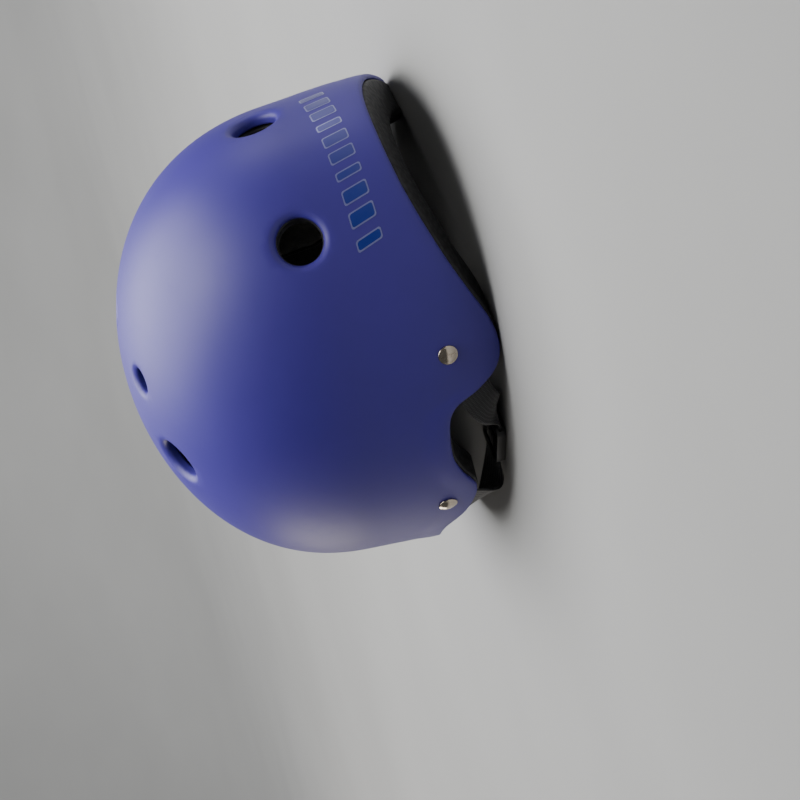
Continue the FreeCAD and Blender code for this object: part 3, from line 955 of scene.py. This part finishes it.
def moulded_finish(name, dark, pale, roughness, grain):
    """Moulded plastic or rubber: fine spark-eroded grain and slightly worn high spots."""
    plastic = Finish(name, dark, roughness)
    cloud = plastic.spread(plastic.noise(90, 4, 0.6), 0.35, 0.7)
    speck = plastic.noise(3200, 2, 0.6)
    plastic.tint(cloud * 0.6 + speck * 0.4, dark, pale)
    plastic.set("Roughness", roughness - 0.06 + 0.1 * cloud + 0.06 * speck)
    plastic.bump(speck + 0.5 * plastic.noise(1100, 2), grain, 0.6)
    return plastic.material


def thread_finish():
    """Twisted black sewing thread, a shade lighter than the webbing."""
    thread = Finish("sewing thread", (0.035, 0.035, 0.037), 0.55, sheen_weight=0.3)
    strand = thread.noise(2600, 3, 0.6)
    thread.tint(strand, (0.022, 0.022, 0.024), (0.06, 0.06, 0.063))
    thread.set("Roughness", 0.45 + 0.2 * strand)
    thread.bump(strand, 0.00008, 0.8)
    return thread.material


def stripe_fill_finish():
    """Metallic foil that runs from royal blue at the wearer's right to pale silver-lilac."""
    foil = Finish("stripe foil", (0.03, 0.1, 0.5), 0.34, 0.25, coat_weight=0.3)
    across = foil.node("ShaderNodeSeparateXYZ", None, {"Vector": foil.place()}).out("Y")
    fade = foil.spread(across, -0.046, 0.006)
    shimmer = foil.noise(500, 3, 0.6) * 0.2 - 0.1
    foil.tint(foil.spread(fade + shimmer, 0.0, 1.0), (0.002, 0.024, 0.27), (0.06, 0.062, 0.28))
    foil.set("Roughness", 0.3 + 0.12 * foil.noise(260, 3, 0.6))
    foil.bump(foil.noise(2400, 2), 0.00002, 0.5)
    return foil.material


def stripe_edge_finish():
    """Silver-lilac foil of the stripes' outlines."""
    foil = Finish("stripe edge foil", (0.36, 0.38, 0.62), 0.3, 0.5, coat_weight=0.2)
    shade_of = foil.noise(420, 3, 0.6)
    foil.tint(shade_of, (0.19, 0.20, 0.42), (0.28, 0.29, 0.54))
    foil.set("Roughness", 0.26 + 0.14 * shade_of)
    foil.bump(foil.noise(2400, 2), 0.00002, 0.5)
    return foil.material


def finish_piece(obj, material):
    obj.data.materials.clear()
    obj.data.materials.append(material)


# ---------------------------------------------------------------- the helmet

paint, foam = paint_finish(), foam_finish()
webbing, binding, thread = webbing_finish(), binding_finish(), thread_finish()
pad_cloth = pad_finish("grey-brown pad fabric", (0.035, 0.032, 0.028), (0.12, 0.11, 0.095))
chin_cloth = pad_finish("black chin pad fabric", (0.008, 0.008, 0.009), (0.03, 0.03, 0.032))
nickel, steel, hook_tape = nickel_finish(), steel_finish(), hook_finish()
plastic = moulded_finish("black buckle plastic", (0.010, 0.010, 0.011), (0.022, 0.022, 0.024), 0.4, 0.00005)
rubber = moulded_finish("black keeper rubber", (0.012, 0.012, 0.012), (0.02, 0.02, 0.021), 0.66, 0.00008)


def enter(piece, material, body, slot_name, *nodes):
    """Finishes a piece, hides the CAD nodes it stands in for and hangs it on the body it rides on; slot_name is not
    used.
    """
    finish_piece(piece, material)
    if nodes:
        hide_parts(*nodes)
    if body:
        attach(piece, body)
    return piece


enter(make_shell(), paint, "helmet", "shell_paint", "outer_shell")
enter(make_liner(), foam, "helmet", "foam", "eps_liner")


def make_rivets():
    """Domed caps with a rolled edge and their shanks, and the washers on the shanks' inner ends."""
    caps, washers = [], []
    for x, height, _, _ in RIVETS.values():
        for side in SIDES.values():
            point, normal = side_point(x, height, 0.0, side)
            dome_line = [(0, 2.35), (1.2, 2.28), (2.3, 2.05), (3.2, 1.68), (3.9, 1.25), (4.3, 0.98)]
            edge = [(4.55, 0.92), (4.85, 0.85), (5.1, 0.62), (5.12, 0.35), (4.95, 0.1), (4.6, 0.04)]
            shank = [(2.1, 0.04), (1.9, -0.3), (1.9, -6.0), (1.7, -6.3), (0, -6.35)]
            caps.append(turned("rivet_cap", dome_line + edge + shank, point, normal, 48))
            ring = [(2.0, -5.3), (5.7, -5.3), (5.95, -5.45), (6.0, -5.7), (5.9, -5.95),
                    (5.6, -6.1), (2.2, -6.1), (2.0, -5.9)]
            washers.append(turned("rivet_washer", ring, point, normal, 40))
    return join("rivets", caps), join("washers", washers)


rivets, washers = make_rivets()
enter(rivets, nickel, "helmet", "rivet_metal", "rivet_caps")
enter(washers, steel, "helmet", "washer_steel", "rivet_washers")

for side_name in SIDES:
    for end in RIVETS:
        make_strap(end, side_name)


# The divider plates, where the two straps of a side meet

def make_divider(side_name):
    side = SIDES[side_name]
    half, inner, outer = DIVIDER_LENGTH / 2, DIVIDER_Y - DIVIDER_WIDTH / 2, DIVIDER_Y + DIVIDER_WIDTH / 2
    low, high = (DIVIDER_X - half, inner, DIVIDER_LOW), (DIVIDER_X + half, outer, DIVIDER_HIGH)
    body = block("divider", low, high, 4.0, 6, True)
    mouth = (STRAP_LEVEL - 1.05, STRAP_LEVEL + 1.05)
    cut(body, half + 2, (inner + 1.4, outer - 1.4), mouth, 0.6)
    cut(body, 9.6, (inner - 3, inner + 12), mouth, 0.6)
    for x in (-7.5, 7.5):
        cut(body, 1.7, (inner + 2.6, outer - 2.6), (-2, 9), 1.6, 4, True, DIVIDER_X + x)
    for y in (DIVIDER_Y - 3.2, DIVIDER_Y, DIVIDER_Y + 3.2):
        add(body, 4.2, (y - 0.7, y + 0.7), (DIVIDER_HIGH - 0.6, DIVIDER_HIGH + 0.5), 0.35)
    soften(body, 0.5, 3)
    if side < 0:
        set_points(body, mesh_points(body) * (1, -1, 1))
        face_outwards(body)
    body.name = body.data.name = f"divider_{side_name}"
    return body


for side_name in SIDES:
    enter(make_divider(side_name), plastic, f"strap_{side_name}", "buckle_plastic", f"strap_divider_{side_name}")


# The chin strap: left half to the socket, right half to the plug

def band_between(name, level_points, body, other, start_y, end_y, *nodes):
    """A flat band through the given pairs of y and height; body and other are not used, and the points worked out at
    start_y and end_y are not used.
    """
    piece = enter(flat_band(name, level_points), webbing, None, "webbing", *nodes)
    start, end = in_mm((DIVIDER_X, start_y, STRAP_LEVEL)), in_mm((DIVIDER_X, end_y, STRAP_LEVEL))
    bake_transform(piece)
    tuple(start)
    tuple(end)


def round_bar(y, level, radius, from_angle, to_angle, count=9):
    """Places round a bar, by y and height."""
    angle = np.radians(np.linspace(from_angle, to_angle, count))
    return [(y + radius * math.cos(a), level + radius * math.sin(a)) for a in angle]


left_loop = [(62.0, 3.0), (58, 3.0), (54, 3.0), (51.5, 2.9)] + round_bar(BAR_Y, BAR_LEVEL, 1.75, -80, -270, 11)
left_loop += [(51.2, 5.6), (53.5, 4.95), (56, 4.62), (60, 4.58), (66, 4.58), (70.5, 4.58)]
band_between("chin_strap_left", [(91, 3.0), (84, 3.0), (76, 3.0), (68, 3.0), (62, 3.0)], "strap_left",
             "chin_strap_left", 83.0, 78.0, "chin_webbing_left")
band_between("socket_loop", left_loop, "chin_strap_left", "socket", 57.5, 53.5)
band_between("chin_strap_right", [(-91, 3.0), (-84, 3.0), (-70, 3.0), (-55, 3.0), (-36, 3.0)], "strap_right",
             "chin_strap_right", -83.0, -78.0, "chin_webbing_right")
right_loop = [(-36.0, 3.0), (-32, 3.0), (-28, 2.8), (-22, 2.5), (-19.6, 2.75)]
right_loop += round_bar(-19.9, 4.4, 1.9, -60, 90, 9)
right_loop += [(-23.5, 6.3), (-27, 6.2), (-30, 5.6), (-33, 4.85), (-37, 4.6), (-42, 4.6), (-46, 4.6), (-50, 4.6)]
band_between("plug_loop", right_loop, "chin_strap_right", "plug", -33.0, -28.5, "webbing_loose_end")


def sewn_box(name, x0, x1, y0, y1, level, body):
    """A box of stitches with a cross, through two layers of webbing."""
    corners = [(x0, y0), (x1, y0), (x1, y1), (x0, y1), (x0, y0)]
    rows = [[(*a, level), (*b, level)] for a, b in zip(corners, corners[1:])]
    rows += [[(x0, y0, level), (x1, y1, level)], [(x0, y1, level), (x1, y0, level)]]
    piece = stitches(name, rows, lambda p: (0, 0, 1))
    enter(piece, thread, body, "webbing")


sewn_box("socket_loop_stitches", DIVIDER_X - 6.6, DIVIDER_X + 6.6, 60.0, 69.0, 5.36, "chin_strap_left")


# The buckle

def buckle_body(name, low_y, high_y):
    """The block, rounded at its upright edges, that both halves begin as."""
    half = BUCKLE_WIDTH / 2
    return block(name, (DIVIDER_X - half, low_y, BUCKLE_LOW), (DIVIDER_X + half, high_y, BUCKLE_HIGH), 3.2, 6, True)


def make_socket():
    half, wall = BUCKLE_WIDTH / 2, 1.8
    low, high, top = SOCKET_LOW, SOCKET_HIGH, BUCKLE_HIGH
    body = buckle_body("socket_body", low, high)
    bore = (BUCKLE_LOW + wall, top - wall)
    cut(body, half - wall, (low - 3, high - 12.5), bore, 1.0, 3)
    cut(body, half + 4, (low + 6, low + 18), (bore[0] + 0.3, bore[1] - 0.3), 1.4, 3)
    cut(body, STRAP_SLOT, (high - 9.4, high - 2.9), (-3, 12), 1.2, 3, True)
    cut(body, STRAP_SLOT, (high - 6, high + 4), (STRAP_LEVEL - 1.1, 6.4), 0.5)
    add(body, 11, (BAR_Y - 0.95, BAR_Y + 0.95), (BAR_LEVEL - 0.95, BAR_LEVEL + 0.95), 0.6, 3)
    cut(body, 6.2, (low + 19.5, high - 12), (top - 0.7, top + 3), 2.6, 5, True)
    cut(body, 4.5, (low - 3, low + 4.5), (top - 3, top + 2), 2.0, 5, True)
    for y in (9.0, 11.6, 14.2):
        add(body, 6.5, (low + y - 0.55, low + y + 0.55), (top - 0.5, top + 0.4), 0.3)
    soften(body, 0.55, 3)
    return body


def make_plug():
    body = buckle_body("plug_body", PLUG_LOW, PLUG_HIGH)
    for z in ((5.3, 12), (-3, 3.6)):
        cut(body, STRAP_SLOT, (PLUG_LOW - 3, PLUG_HIGH - 3.2), z, 0.8, 3)
    for y in ((-27.0, -21.2), (-18.6, -15.0)):
        cut(body, STRAP_SLOT, y, (-3, 12), 0.4)
    add(body, 2.5, (PLUG_HIGH - 1.5, PLUG_HIGH + 15.5), PRONG_LEVELS, 0.9, 3)
    for y in (-26.4, -24.2, -22.0, -19.8):
        for side in SIDES.values():
            x = DIVIDER_X + side * (BUCKLE_WIDTH / 2 + 0.1)
            add(body, 0.5, (y - 0.55, y + 0.55), (1.8, 7.6), 0.3, 2, x)
    soften(body, 0.5, 3)
    return body


def make_prong(name, side):
    """A springy arm with its hooked thumb pad."""
    outer = BUCKLE_WIDTH / 2 - 2.5
    root, tip, hook = PLUG_HIGH + 0.35, PLUG_HIGH + 18.0, 2.2
    inside = [(outer - 4.0, root), (outer - 3.4, root + 5), (outer - 3.0, tip - 6),
              (outer - 3.6, tip - 1.2), (outer - 3.0, tip)]
    outside_line = [(outer - 1.2, tip), (outer + 0.6, tip - 2.0), (outer + hook, tip - 5),
                    (outer + hook, tip - 7.6),
                    (outer + hook - 0.5, tip - 8.2), (outer + 0.3, tip - 8.8), (outer - 0.6, tip - 11),
                    (outer, root + 4), (outer, root)]
    outline = [(DIVIDER_X + side * x, y) for x, y in inside + outside_line]
    arm = plate(name, outline[::-1] if side > 0 else outline, *PRONG_LEVELS)
    soften(arm, 0.4, 3, 25)
    return arm


enter(make_socket(), plastic, "socket", "buckle_plastic", "buckle_socket")
enter(make_plug(), plastic, "plug", "buckle_plastic", "buckle_plug")
enter(make_prong("prong_front_arm", 1), plastic, "prong_front", "buckle_plastic", "buckle_prong_front")
enter(make_prong("prong_rear_arm", -1), plastic, "prong_rear", "buckle_plastic", "buckle_prong_rear")


# The pads, puffed by cloth between their seams and sewn channels

def settle(axes, start, target, depth):
    """The u, v at which the layer at a depth is seen at the target on two axes."""
    uv = np.tile(np.array(start, float), (len(target), 1))
    for _ in range(14):
        here = dome(uv[:, 0], uv[:, 1], depth)[:, axes]
        step = 1e-3
        du = (dome(uv[:, 0] + step, uv[:, 1], depth)[:, axes] - here) / step
        dv = (dome(uv[:, 0], uv[:, 1] + step, depth)[:, axes] - here) / step
        miss = target - here
        size = du[:, 0] * dv[:, 1] - du[:, 1] * dv[:, 0]
        move = np.stack([miss[:, 0] * dv[:, 1] - miss[:, 1] * dv[:, 0],
                         du[:, 0] * miss[:, 1] - du[:, 1] * miss[:, 0]], -1)
        uv += np.clip(move / size[:, None], -0.3, 0.3)
    return uv


def puff(obj, pinned, limit, pressure=4.0):
    """Lets cloth under pressure swell between its pinned points, no further than limit, in millimetres."""
    before = mesh_points(obj)
    held = obj.vertex_groups.new(name="held")
    held.add([int(i) for i in np.nonzero(pinned)[0]], 1.0, "REPLACE")
    make_active(obj)
    cloth = obj.modifiers.new("Cloth", "CLOTH")
    cloth.settings.vertex_group_mass = "held"
    cloth.settings.use_pressure = True
    cloth.settings.uniform_pressure_force = pressure
    cloth.settings.effector_weights.gravity = 0
    cloth.settings.tension_stiffness = cloth.settings.compression_stiffness = 8
    cloth.settings.shrink_min = -0.03
    cloth.point_cache.frame_start, cloth.point_cache.frame_end = 1, 20
    for step in range(1, 21):
        bpy.context.scene.frame_set(step)
    make_active(obj)
    bpy.ops.object.modifier_apply(modifier=cloth.name)
    bpy.context.scene.frame_set(1)
    moved = mesh_points(obj) - before
    length = np.linalg.norm(moved, axis=1, keepdims=True) / MM
    set_points(obj, before + moved * np.minimum(1, limit / np.maximum(length, 1e-9)))
    obj.vertex_groups.clear()


def square_to_round(s, t, half_s, half_t, corner):
    """Lays a square of -1..1 on a rectangle with round corners, in millimetres."""
    x, y = s * half_s, t * half_t
    over_x = np.clip((np.abs(x) - half_s + corner) / corner, 0, 1)
    over_y = np.clip((np.abs(y) - half_t + corner) / corner, 0, 1)
    round_x = over_x * np.sqrt(1 - over_y ** 2 / 2)
    round_y = over_y * np.sqrt(1 - over_x ** 2 / 2)
    x = np.where(over_x > 0, np.sign(x) * (half_s - corner + corner * round_x), x)
    y = np.where(over_y > 0, np.sign(y) * (half_t - corner + corner * round_y), y)
    return x, y


def make_pad(name, axes, start, middle, halves, corner, channels):
    """A pad on the foam's inside, with its bound edge and its stitched channels."""
    half_s, half_t = halves
    across, up = int(half_s * 2 / 2.6), int(half_t * 2 / 2.6)
    across, up = across + across % 2, up + up % 2
    deselect()
    bpy.ops.mesh.primitive_grid_add(x_subdivisions=across, y_subdivisions=up, size=2)
    obj = named(f"{name}_cushion")
    flat = mesh_points(obj)
    modify(obj, "SOLIDIFY", thickness=0.2, offset=0)
    count = len(flat)
    s, t = np.tile(flat[:, 0], 2), np.tile(flat[:, 1], 2)
    x, y = square_to_round(s, t, half_s, half_t, corner)
    uv = settle(axes, start, np.stack([x, y], -1) + middle, PAD_MIDDLE)
    back = np.arange(2 * count) >= count
    if mesh_points(obj)[:count, 2].mean() < 0:
        back = ~back
    edge = np.minimum((1 - np.abs(s)) * half_s, (1 - np.abs(t)) * half_t)
    swell = ease(edge / 7.0) ** 0.6
    near = np.full(len(x), 99.0)
    for channel in channels:
        near = np.minimum(near, np.abs(x - channel))
    dip = 1 - ease((near - 0.6) / 5.0)
    face = PAD_SEAM + (PAD_START - PAD_SEAM) * swell
    face = face - np.maximum(face - PAD_CHANNEL, 0) * dip
    depth = np.where(back, PAD_BACK + (PAD_SEAM - 0.3 - PAD_BACK) * (1 - ease(edge / 3.5)), face)
    set_points(obj, to_row(dome(uv[:, 0], uv[:, 1], depth)))
    face_outwards(obj)
    seam = edge < 0.01
    stitched = (near < 1.4) & (edge > 2)
    puff(obj, back | seam | stitched, 3.6)
    modify(obj, "SUBSURF", levels=1, render_levels=1)
    shade(obj)
    enter(obj, pad_cloth, "helmet", "pad_fabric", name)
    # the bound edge
    turn = circle(150)
    reach = 1 / np.maximum(np.abs(np.cos(turn)), np.abs(np.sin(turn)))
    ex, ey = square_to_round(np.cos(turn) * reach, np.sin(turn) * reach, half_s + 0.2, half_t + 0.2, corner)
    uv = settle(axes, start, np.stack([ex, ey], -1) + middle, PAD_MIDDLE)
    line, out = dome(uv[:, 0], uv[:, 1], PAD_SEAM + 0.1), dome_normal(uv[:, 0], uv[:, 1])
    run = np.roll(line, -1, 0) - np.roll(line, 1, 0)
    side = np.cross(run, out)
    side = unit(side)
    angle = circle(10)
    rings = [c + np.cos(angle)[:, None] * a * 1.0 + np.sin(angle)[:, None] * b * 1.25
             for c, a, b in zip(line, side, out)]
    cord, _, _ = laid_torus(f"{name}_binding", rings)
    face_outwards(cord)
    shade(cord)
    enter(cord, binding, "helmet", "pad_fabric")
    rows = []
    for channel in channels:
        places = np.linspace(3.2 - half_t, half_t - 3.2, 12)
        flat_line = np.stack([np.full(12, channel), places], -1)
        uv = settle(axes, start, flat_line + middle, PAD_MIDDLE)
        rows.append(dome(uv[:, 0], uv[:, 1], PAD_CHANNEL + 0.15))
    if rows:
        sewn = stitches(f"{name}_stitches", rows, lambda p: -p / np.linalg.norm(p), to_row, 2.4, 1.1, 0.4)
        enter(sewn, thread, "helmet", "pad_fabric")


make_pad("brow_pad", [1, 2], (0.9, 0), (0, -8), (59.5, 13.8), 9, (-36, -12, 12, 36))
make_pad("rear_pad", [1, 2], (-1.1, 0), (0, -28), (45.5, 15.8), 9, (-24, 0, 24))
make_pad("side_pad_left", [0, 2], (0, 0.95), (1, 0), (44.5, 19.6), 11, (-16, 16))
make_pad("side_pad_right", [0, 2], (0, -0.95), (1, 0), (44.5, 19.6), 11, (-16, 16))
make_pad("crown_pad", [0, 1], (0, 0), (-2, 0), (59.5, 12.8), 9, (-32, 0, 32))
finish_piece(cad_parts["pad_hook_dots"], hook_tape)


# The sleeve and the keeper on the right half of the chin strap

def round_box_line(half, rise, corner, count):
    """Places round a rectangle with round corners, with the way out of it at each."""
    angle = circle(count)
    reach = 1 / np.maximum(np.abs(np.cos(angle)), np.abs(np.sin(angle)))
    x, z = square_to_round(np.cos(angle) * reach, np.sin(angle) * reach, half, rise, corner)
    ahead_x, ahead_z = np.roll(x, -1) - np.roll(x, 1), np.roll(z, -1) - np.roll(z, 1)
    size = np.hypot(ahead_x, ahead_z)
    return x, z, ahead_z / size, -ahead_x / size


def sleeve(name, y0, y1, inner, level, profile, corner, count):
    """A closed band round the chin strap. profile gives share of the length and height out of its inner face."""
    x, z, out_x, out_z = round_box_line(inner[0], inner[1], corner, count)
    rings = []
    for share, out in profile:
        y = np.full(count, y0 + (y1 - y0) * share)
        rings.append(np.stack([DIVIDER_X + x + out_x * out, y, level + z + out_z * out], -1))
    piece, _, column = laid_torus(name, np.array(rings).transpose(1, 0, 2), in_mm)
    face_outwards(piece)
    return piece, column


keeper_line = [(0.08, 0.0), (0.5, 0.0), (0.92, 0.0), (1.0, 0.15), (1.0, 1.0), (0.93, 1.2), (0.84, 1.25), (0.76, 0.95),
               (0.68, 0.95), (0.6, 1.25), (0.5, 1.3), (0.4, 1.25), (0.32, 0.95), (0.24, 0.95),
               (0.16, 1.25), (0.07, 1.2), (0.0, 1.0), (0.0, 0.15)]
keeper, _ = sleeve("keeper_band", *KEEPER_Y, (9.25, 1.85), 3.85, keeper_line, 1.0, 64)
shade(keeper, 40)
enter(keeper, rubber, "keeper", "keeper_rubber", "strap_keeper")

share = np.linspace(0.06, 0.94, 15)
inside_face = [(s, 0.15) for s in share]
outside_face = [(s, 0.5 + 1.1 * math.sin(math.pi * s) ** 0.5) for s in share[::-1]]
pad_line = inside_face + [(1.0, 0.3)] + outside_face + [(0.0, 0.3)]
chin_pad, column = sleeve("chin_pad_cushion", *CHIN_PAD_Y, (9.2, 1.0), 3.0, pad_line, 0.9, 72)
puff(chin_pad, (column <= 15) | (column >= 31), 1.3, 5.0)
modify(chin_pad, "SUBSURF", levels=1, render_levels=1)
shade(chin_pad)
stand(chin_pad)
enter(chin_pad, chin_cloth, "chin_pad", "chin_pad_fabric", "chin_pad")
for end_y in (-75.9, -58.3):
    x, z, out_x, out_z = round_box_line(9.2, 1.0, 0.9, 90)
    angle = circle(8)
    centre = np.stack([DIVIDER_X + x + out_x * 0.75, np.full(90, end_y), 3.0 + z + out_z * 0.75], -1)
    out = np.stack([out_x, np.zeros(90), out_z], -1)
    rings = [c + np.cos(angle)[:, None] * o * 0.75 + np.sin(angle)[:, None] * np.array([0, 0.8, 0])
             for c, o in zip(centre, out)]
    tape, _, _ = laid_torus(f"chin_pad_binding_{'outer' if end_y < -70 else 'inner'}", rings, in_mm)
    face_outwards(tape)
    shade(tape)
    enter(tape, binding, "chin_pad", "chin_pad_fabric")


# The brow's row of slanting stripes

def brow_point(across, height, proud):
    """A point of the shell's front, proud of it, by its distance across and its height."""
    uv = settle([1, 2], (0.95, 0), np.stack([across, height], -1), 0.0)
    point = dome(uv[:, 0], uv[:, 1], -proud)
    normal = dome_normal(uv[:, 0], uv[:, 1])
    to_rim = np.maximum(point[:, 2] - rim_height(point[:, 0]), 0)
    turn = np.arctan2(point[:, 1], point[:, 0])
    return flared(point, normal, turn, to_rim, 0)


def make_stripe(middle, half, margin, proud, name):
    """One slanting stripe that follows the shell."""
    deselect()
    bpy.ops.mesh.primitive_grid_add(x_subdivisions=8, y_subdivisions=14, size=2)
    obj = bpy.context.object
    obj.name = name
    flat = mesh_points(obj)
    low, high = STRIPE_LOW + margin, STRIPE_HIGH - margin
    x, y = square_to_round(flat[:, 0], flat[:, 1], half - margin, (high - low) / 2, 1.1)
    height = (low + high) / 2 + y
    across = middle + x - STRIPE_LEAN * (height - (STRIPE_LOW + STRIPE_HIGH) / 2) / (STRIPE_HIGH - STRIPE_LOW)
    set_points(obj, to_row(brow_point(across, height, proud)))
    modify(obj, "SOLIDIFY", thickness=0.08 * MM, offset=-1)
    return obj


edges, fills = [], []
for number in range(STRIPE_COUNT):
    middle = STRIPE_MIDDLE + (number - (STRIPE_COUNT - 1) / 2) * STRIPE_PITCH
    half = 3.5 if number % 3 else 2.4
    edges.append(make_stripe(middle, half, 0.0, 0.10, "stripe_edge"))
    fills.append(make_stripe(middle, half, 0.65, 0.16, "stripe_fill"))
stripe_edges, stripe_fills = join("brow_stripe_edges", edges), join("brow_stripes", fills)
for piece in (stripe_edges, stripe_fills):
    face_outwards(piece)
    shade(piece, 30)
enter(stripe_edges, stripe_edge_finish(), "helmet", "shell_paint")
enter(stripe_fills, stripe_fill_finish(), "helmet", "shell_paint")


# ---------------------------------------------------------------- the room, the lights and the camera

def area_light(name, place, target, size, power, colour=(1, 1, 1)):
    data = bpy.data.lights.new(name, "AREA")
    data.shape, data.size, data.energy, data.color = "DISK", size, power, colour
    light = bpy.data.objects.new(name, data)
    light.location = place
    light.rotation_euler = (Vector(target) - Vector(place)).to_track_quat("-Z", "Y").to_euler()
    bpy.context.scene.collection.objects.link(light)


def make_room():
    """A pale floor that sweeps up into a wall behind the helmet."""
    deselect()
    bpy.ops.mesh.primitive_grid_add(x_subdivisions=60, y_subdivisions=2, size=2)
    floor = bpy.context.object
    floor.name = "floor"
    flat = mesh_points(floor)
    run = (flat[:, 0] + 1) / 2 * (FLOOR_FRONT + FLOOR_BACK + SWEEP * math.pi / 2 + WALL)
    angle = np.clip((run - FLOOR_FRONT - FLOOR_BACK) / SWEEP, 0, math.pi / 2)
    level = np.clip(run, 0, FLOOR_FRONT + FLOOR_BACK) - FLOOR_FRONT
    up = np.clip(run - FLOOR_FRONT - FLOOR_BACK - SWEEP * math.pi / 2, 0, None)
    away, height = level + SWEEP * np.sin(angle), SWEEP * (1 - np.cos(angle)) + up
    ahead, beside = np.array(ROOM_DIRECTION), np.array((-ROOM_DIRECTION[1], ROOM_DIRECTION[0]))
    place = away[:, None] * ahead + (flat[:, 1] * ROOM_WIDTH)[:, None] * beside
    set_points(floor, np.column_stack([place, height]))
    shade(floor)
    ground = Finish("pale floor", (0.3, 0.3, 0.295), 0.9)
    cloud = ground.spread(ground.noise(3, 3), 0.3, 0.7)
    ground.tint(cloud, (0.315, 0.315, 0.31), (0.345, 0.345, 0.34))
    finish_piece(floor, ground.material)
    world = bpy.data.worlds.new("studio")
    world.use_nodes = True
    world.node_tree.nodes["Background"].inputs["Color"].default_value = (0.8, 0.81, 0.83, 1)
    world.node_tree.nodes["Background"].inputs["Strength"].default_value = WORLD_STRENGTH
    bpy.context.scene.world = world


def make_camera():
    right = Vector((-0.0174, -0.3163, -0.9485))
    up = Vector((0.5681, 0.7775, -0.2697))
    back = right.cross(up)
    data = bpy.data.cameras.new("camera")
    data.lens, data.sensor_width = 99, 36
    camera = bpy.data.objects.new("camera", data)
    turn = Matrix((right, up, back)).transposed().to_4x4()
    camera.matrix_world = Matrix.Translation((0.9508, -0.6909, 0.2369)) @ turn
    bpy.context.scene.collection.objects.link(camera)
    bpy.context.scene.camera = camera


make_room()
area_light("key", (0.0, 0.37, 1.25), (0, 0, 0.1), 1.4, 31)
area_light("fill", (0.7, -0.1, 1.5), (0, 0, 0.12), 0.8, 13)
area_light("background", (-1.4, 1.6, 2.3), (-2.2, 1.9, 0), 1.8, 70)
area_light("front", (0.9, 1.5, 0.3), (0, 0, 0.07), 0.6, 6)
area_light("edge", (-1.7, -0.5, 0.35), (0, 0, 0.1), 0.7, 9, (1, 0.93, 0.84))
make_camera()
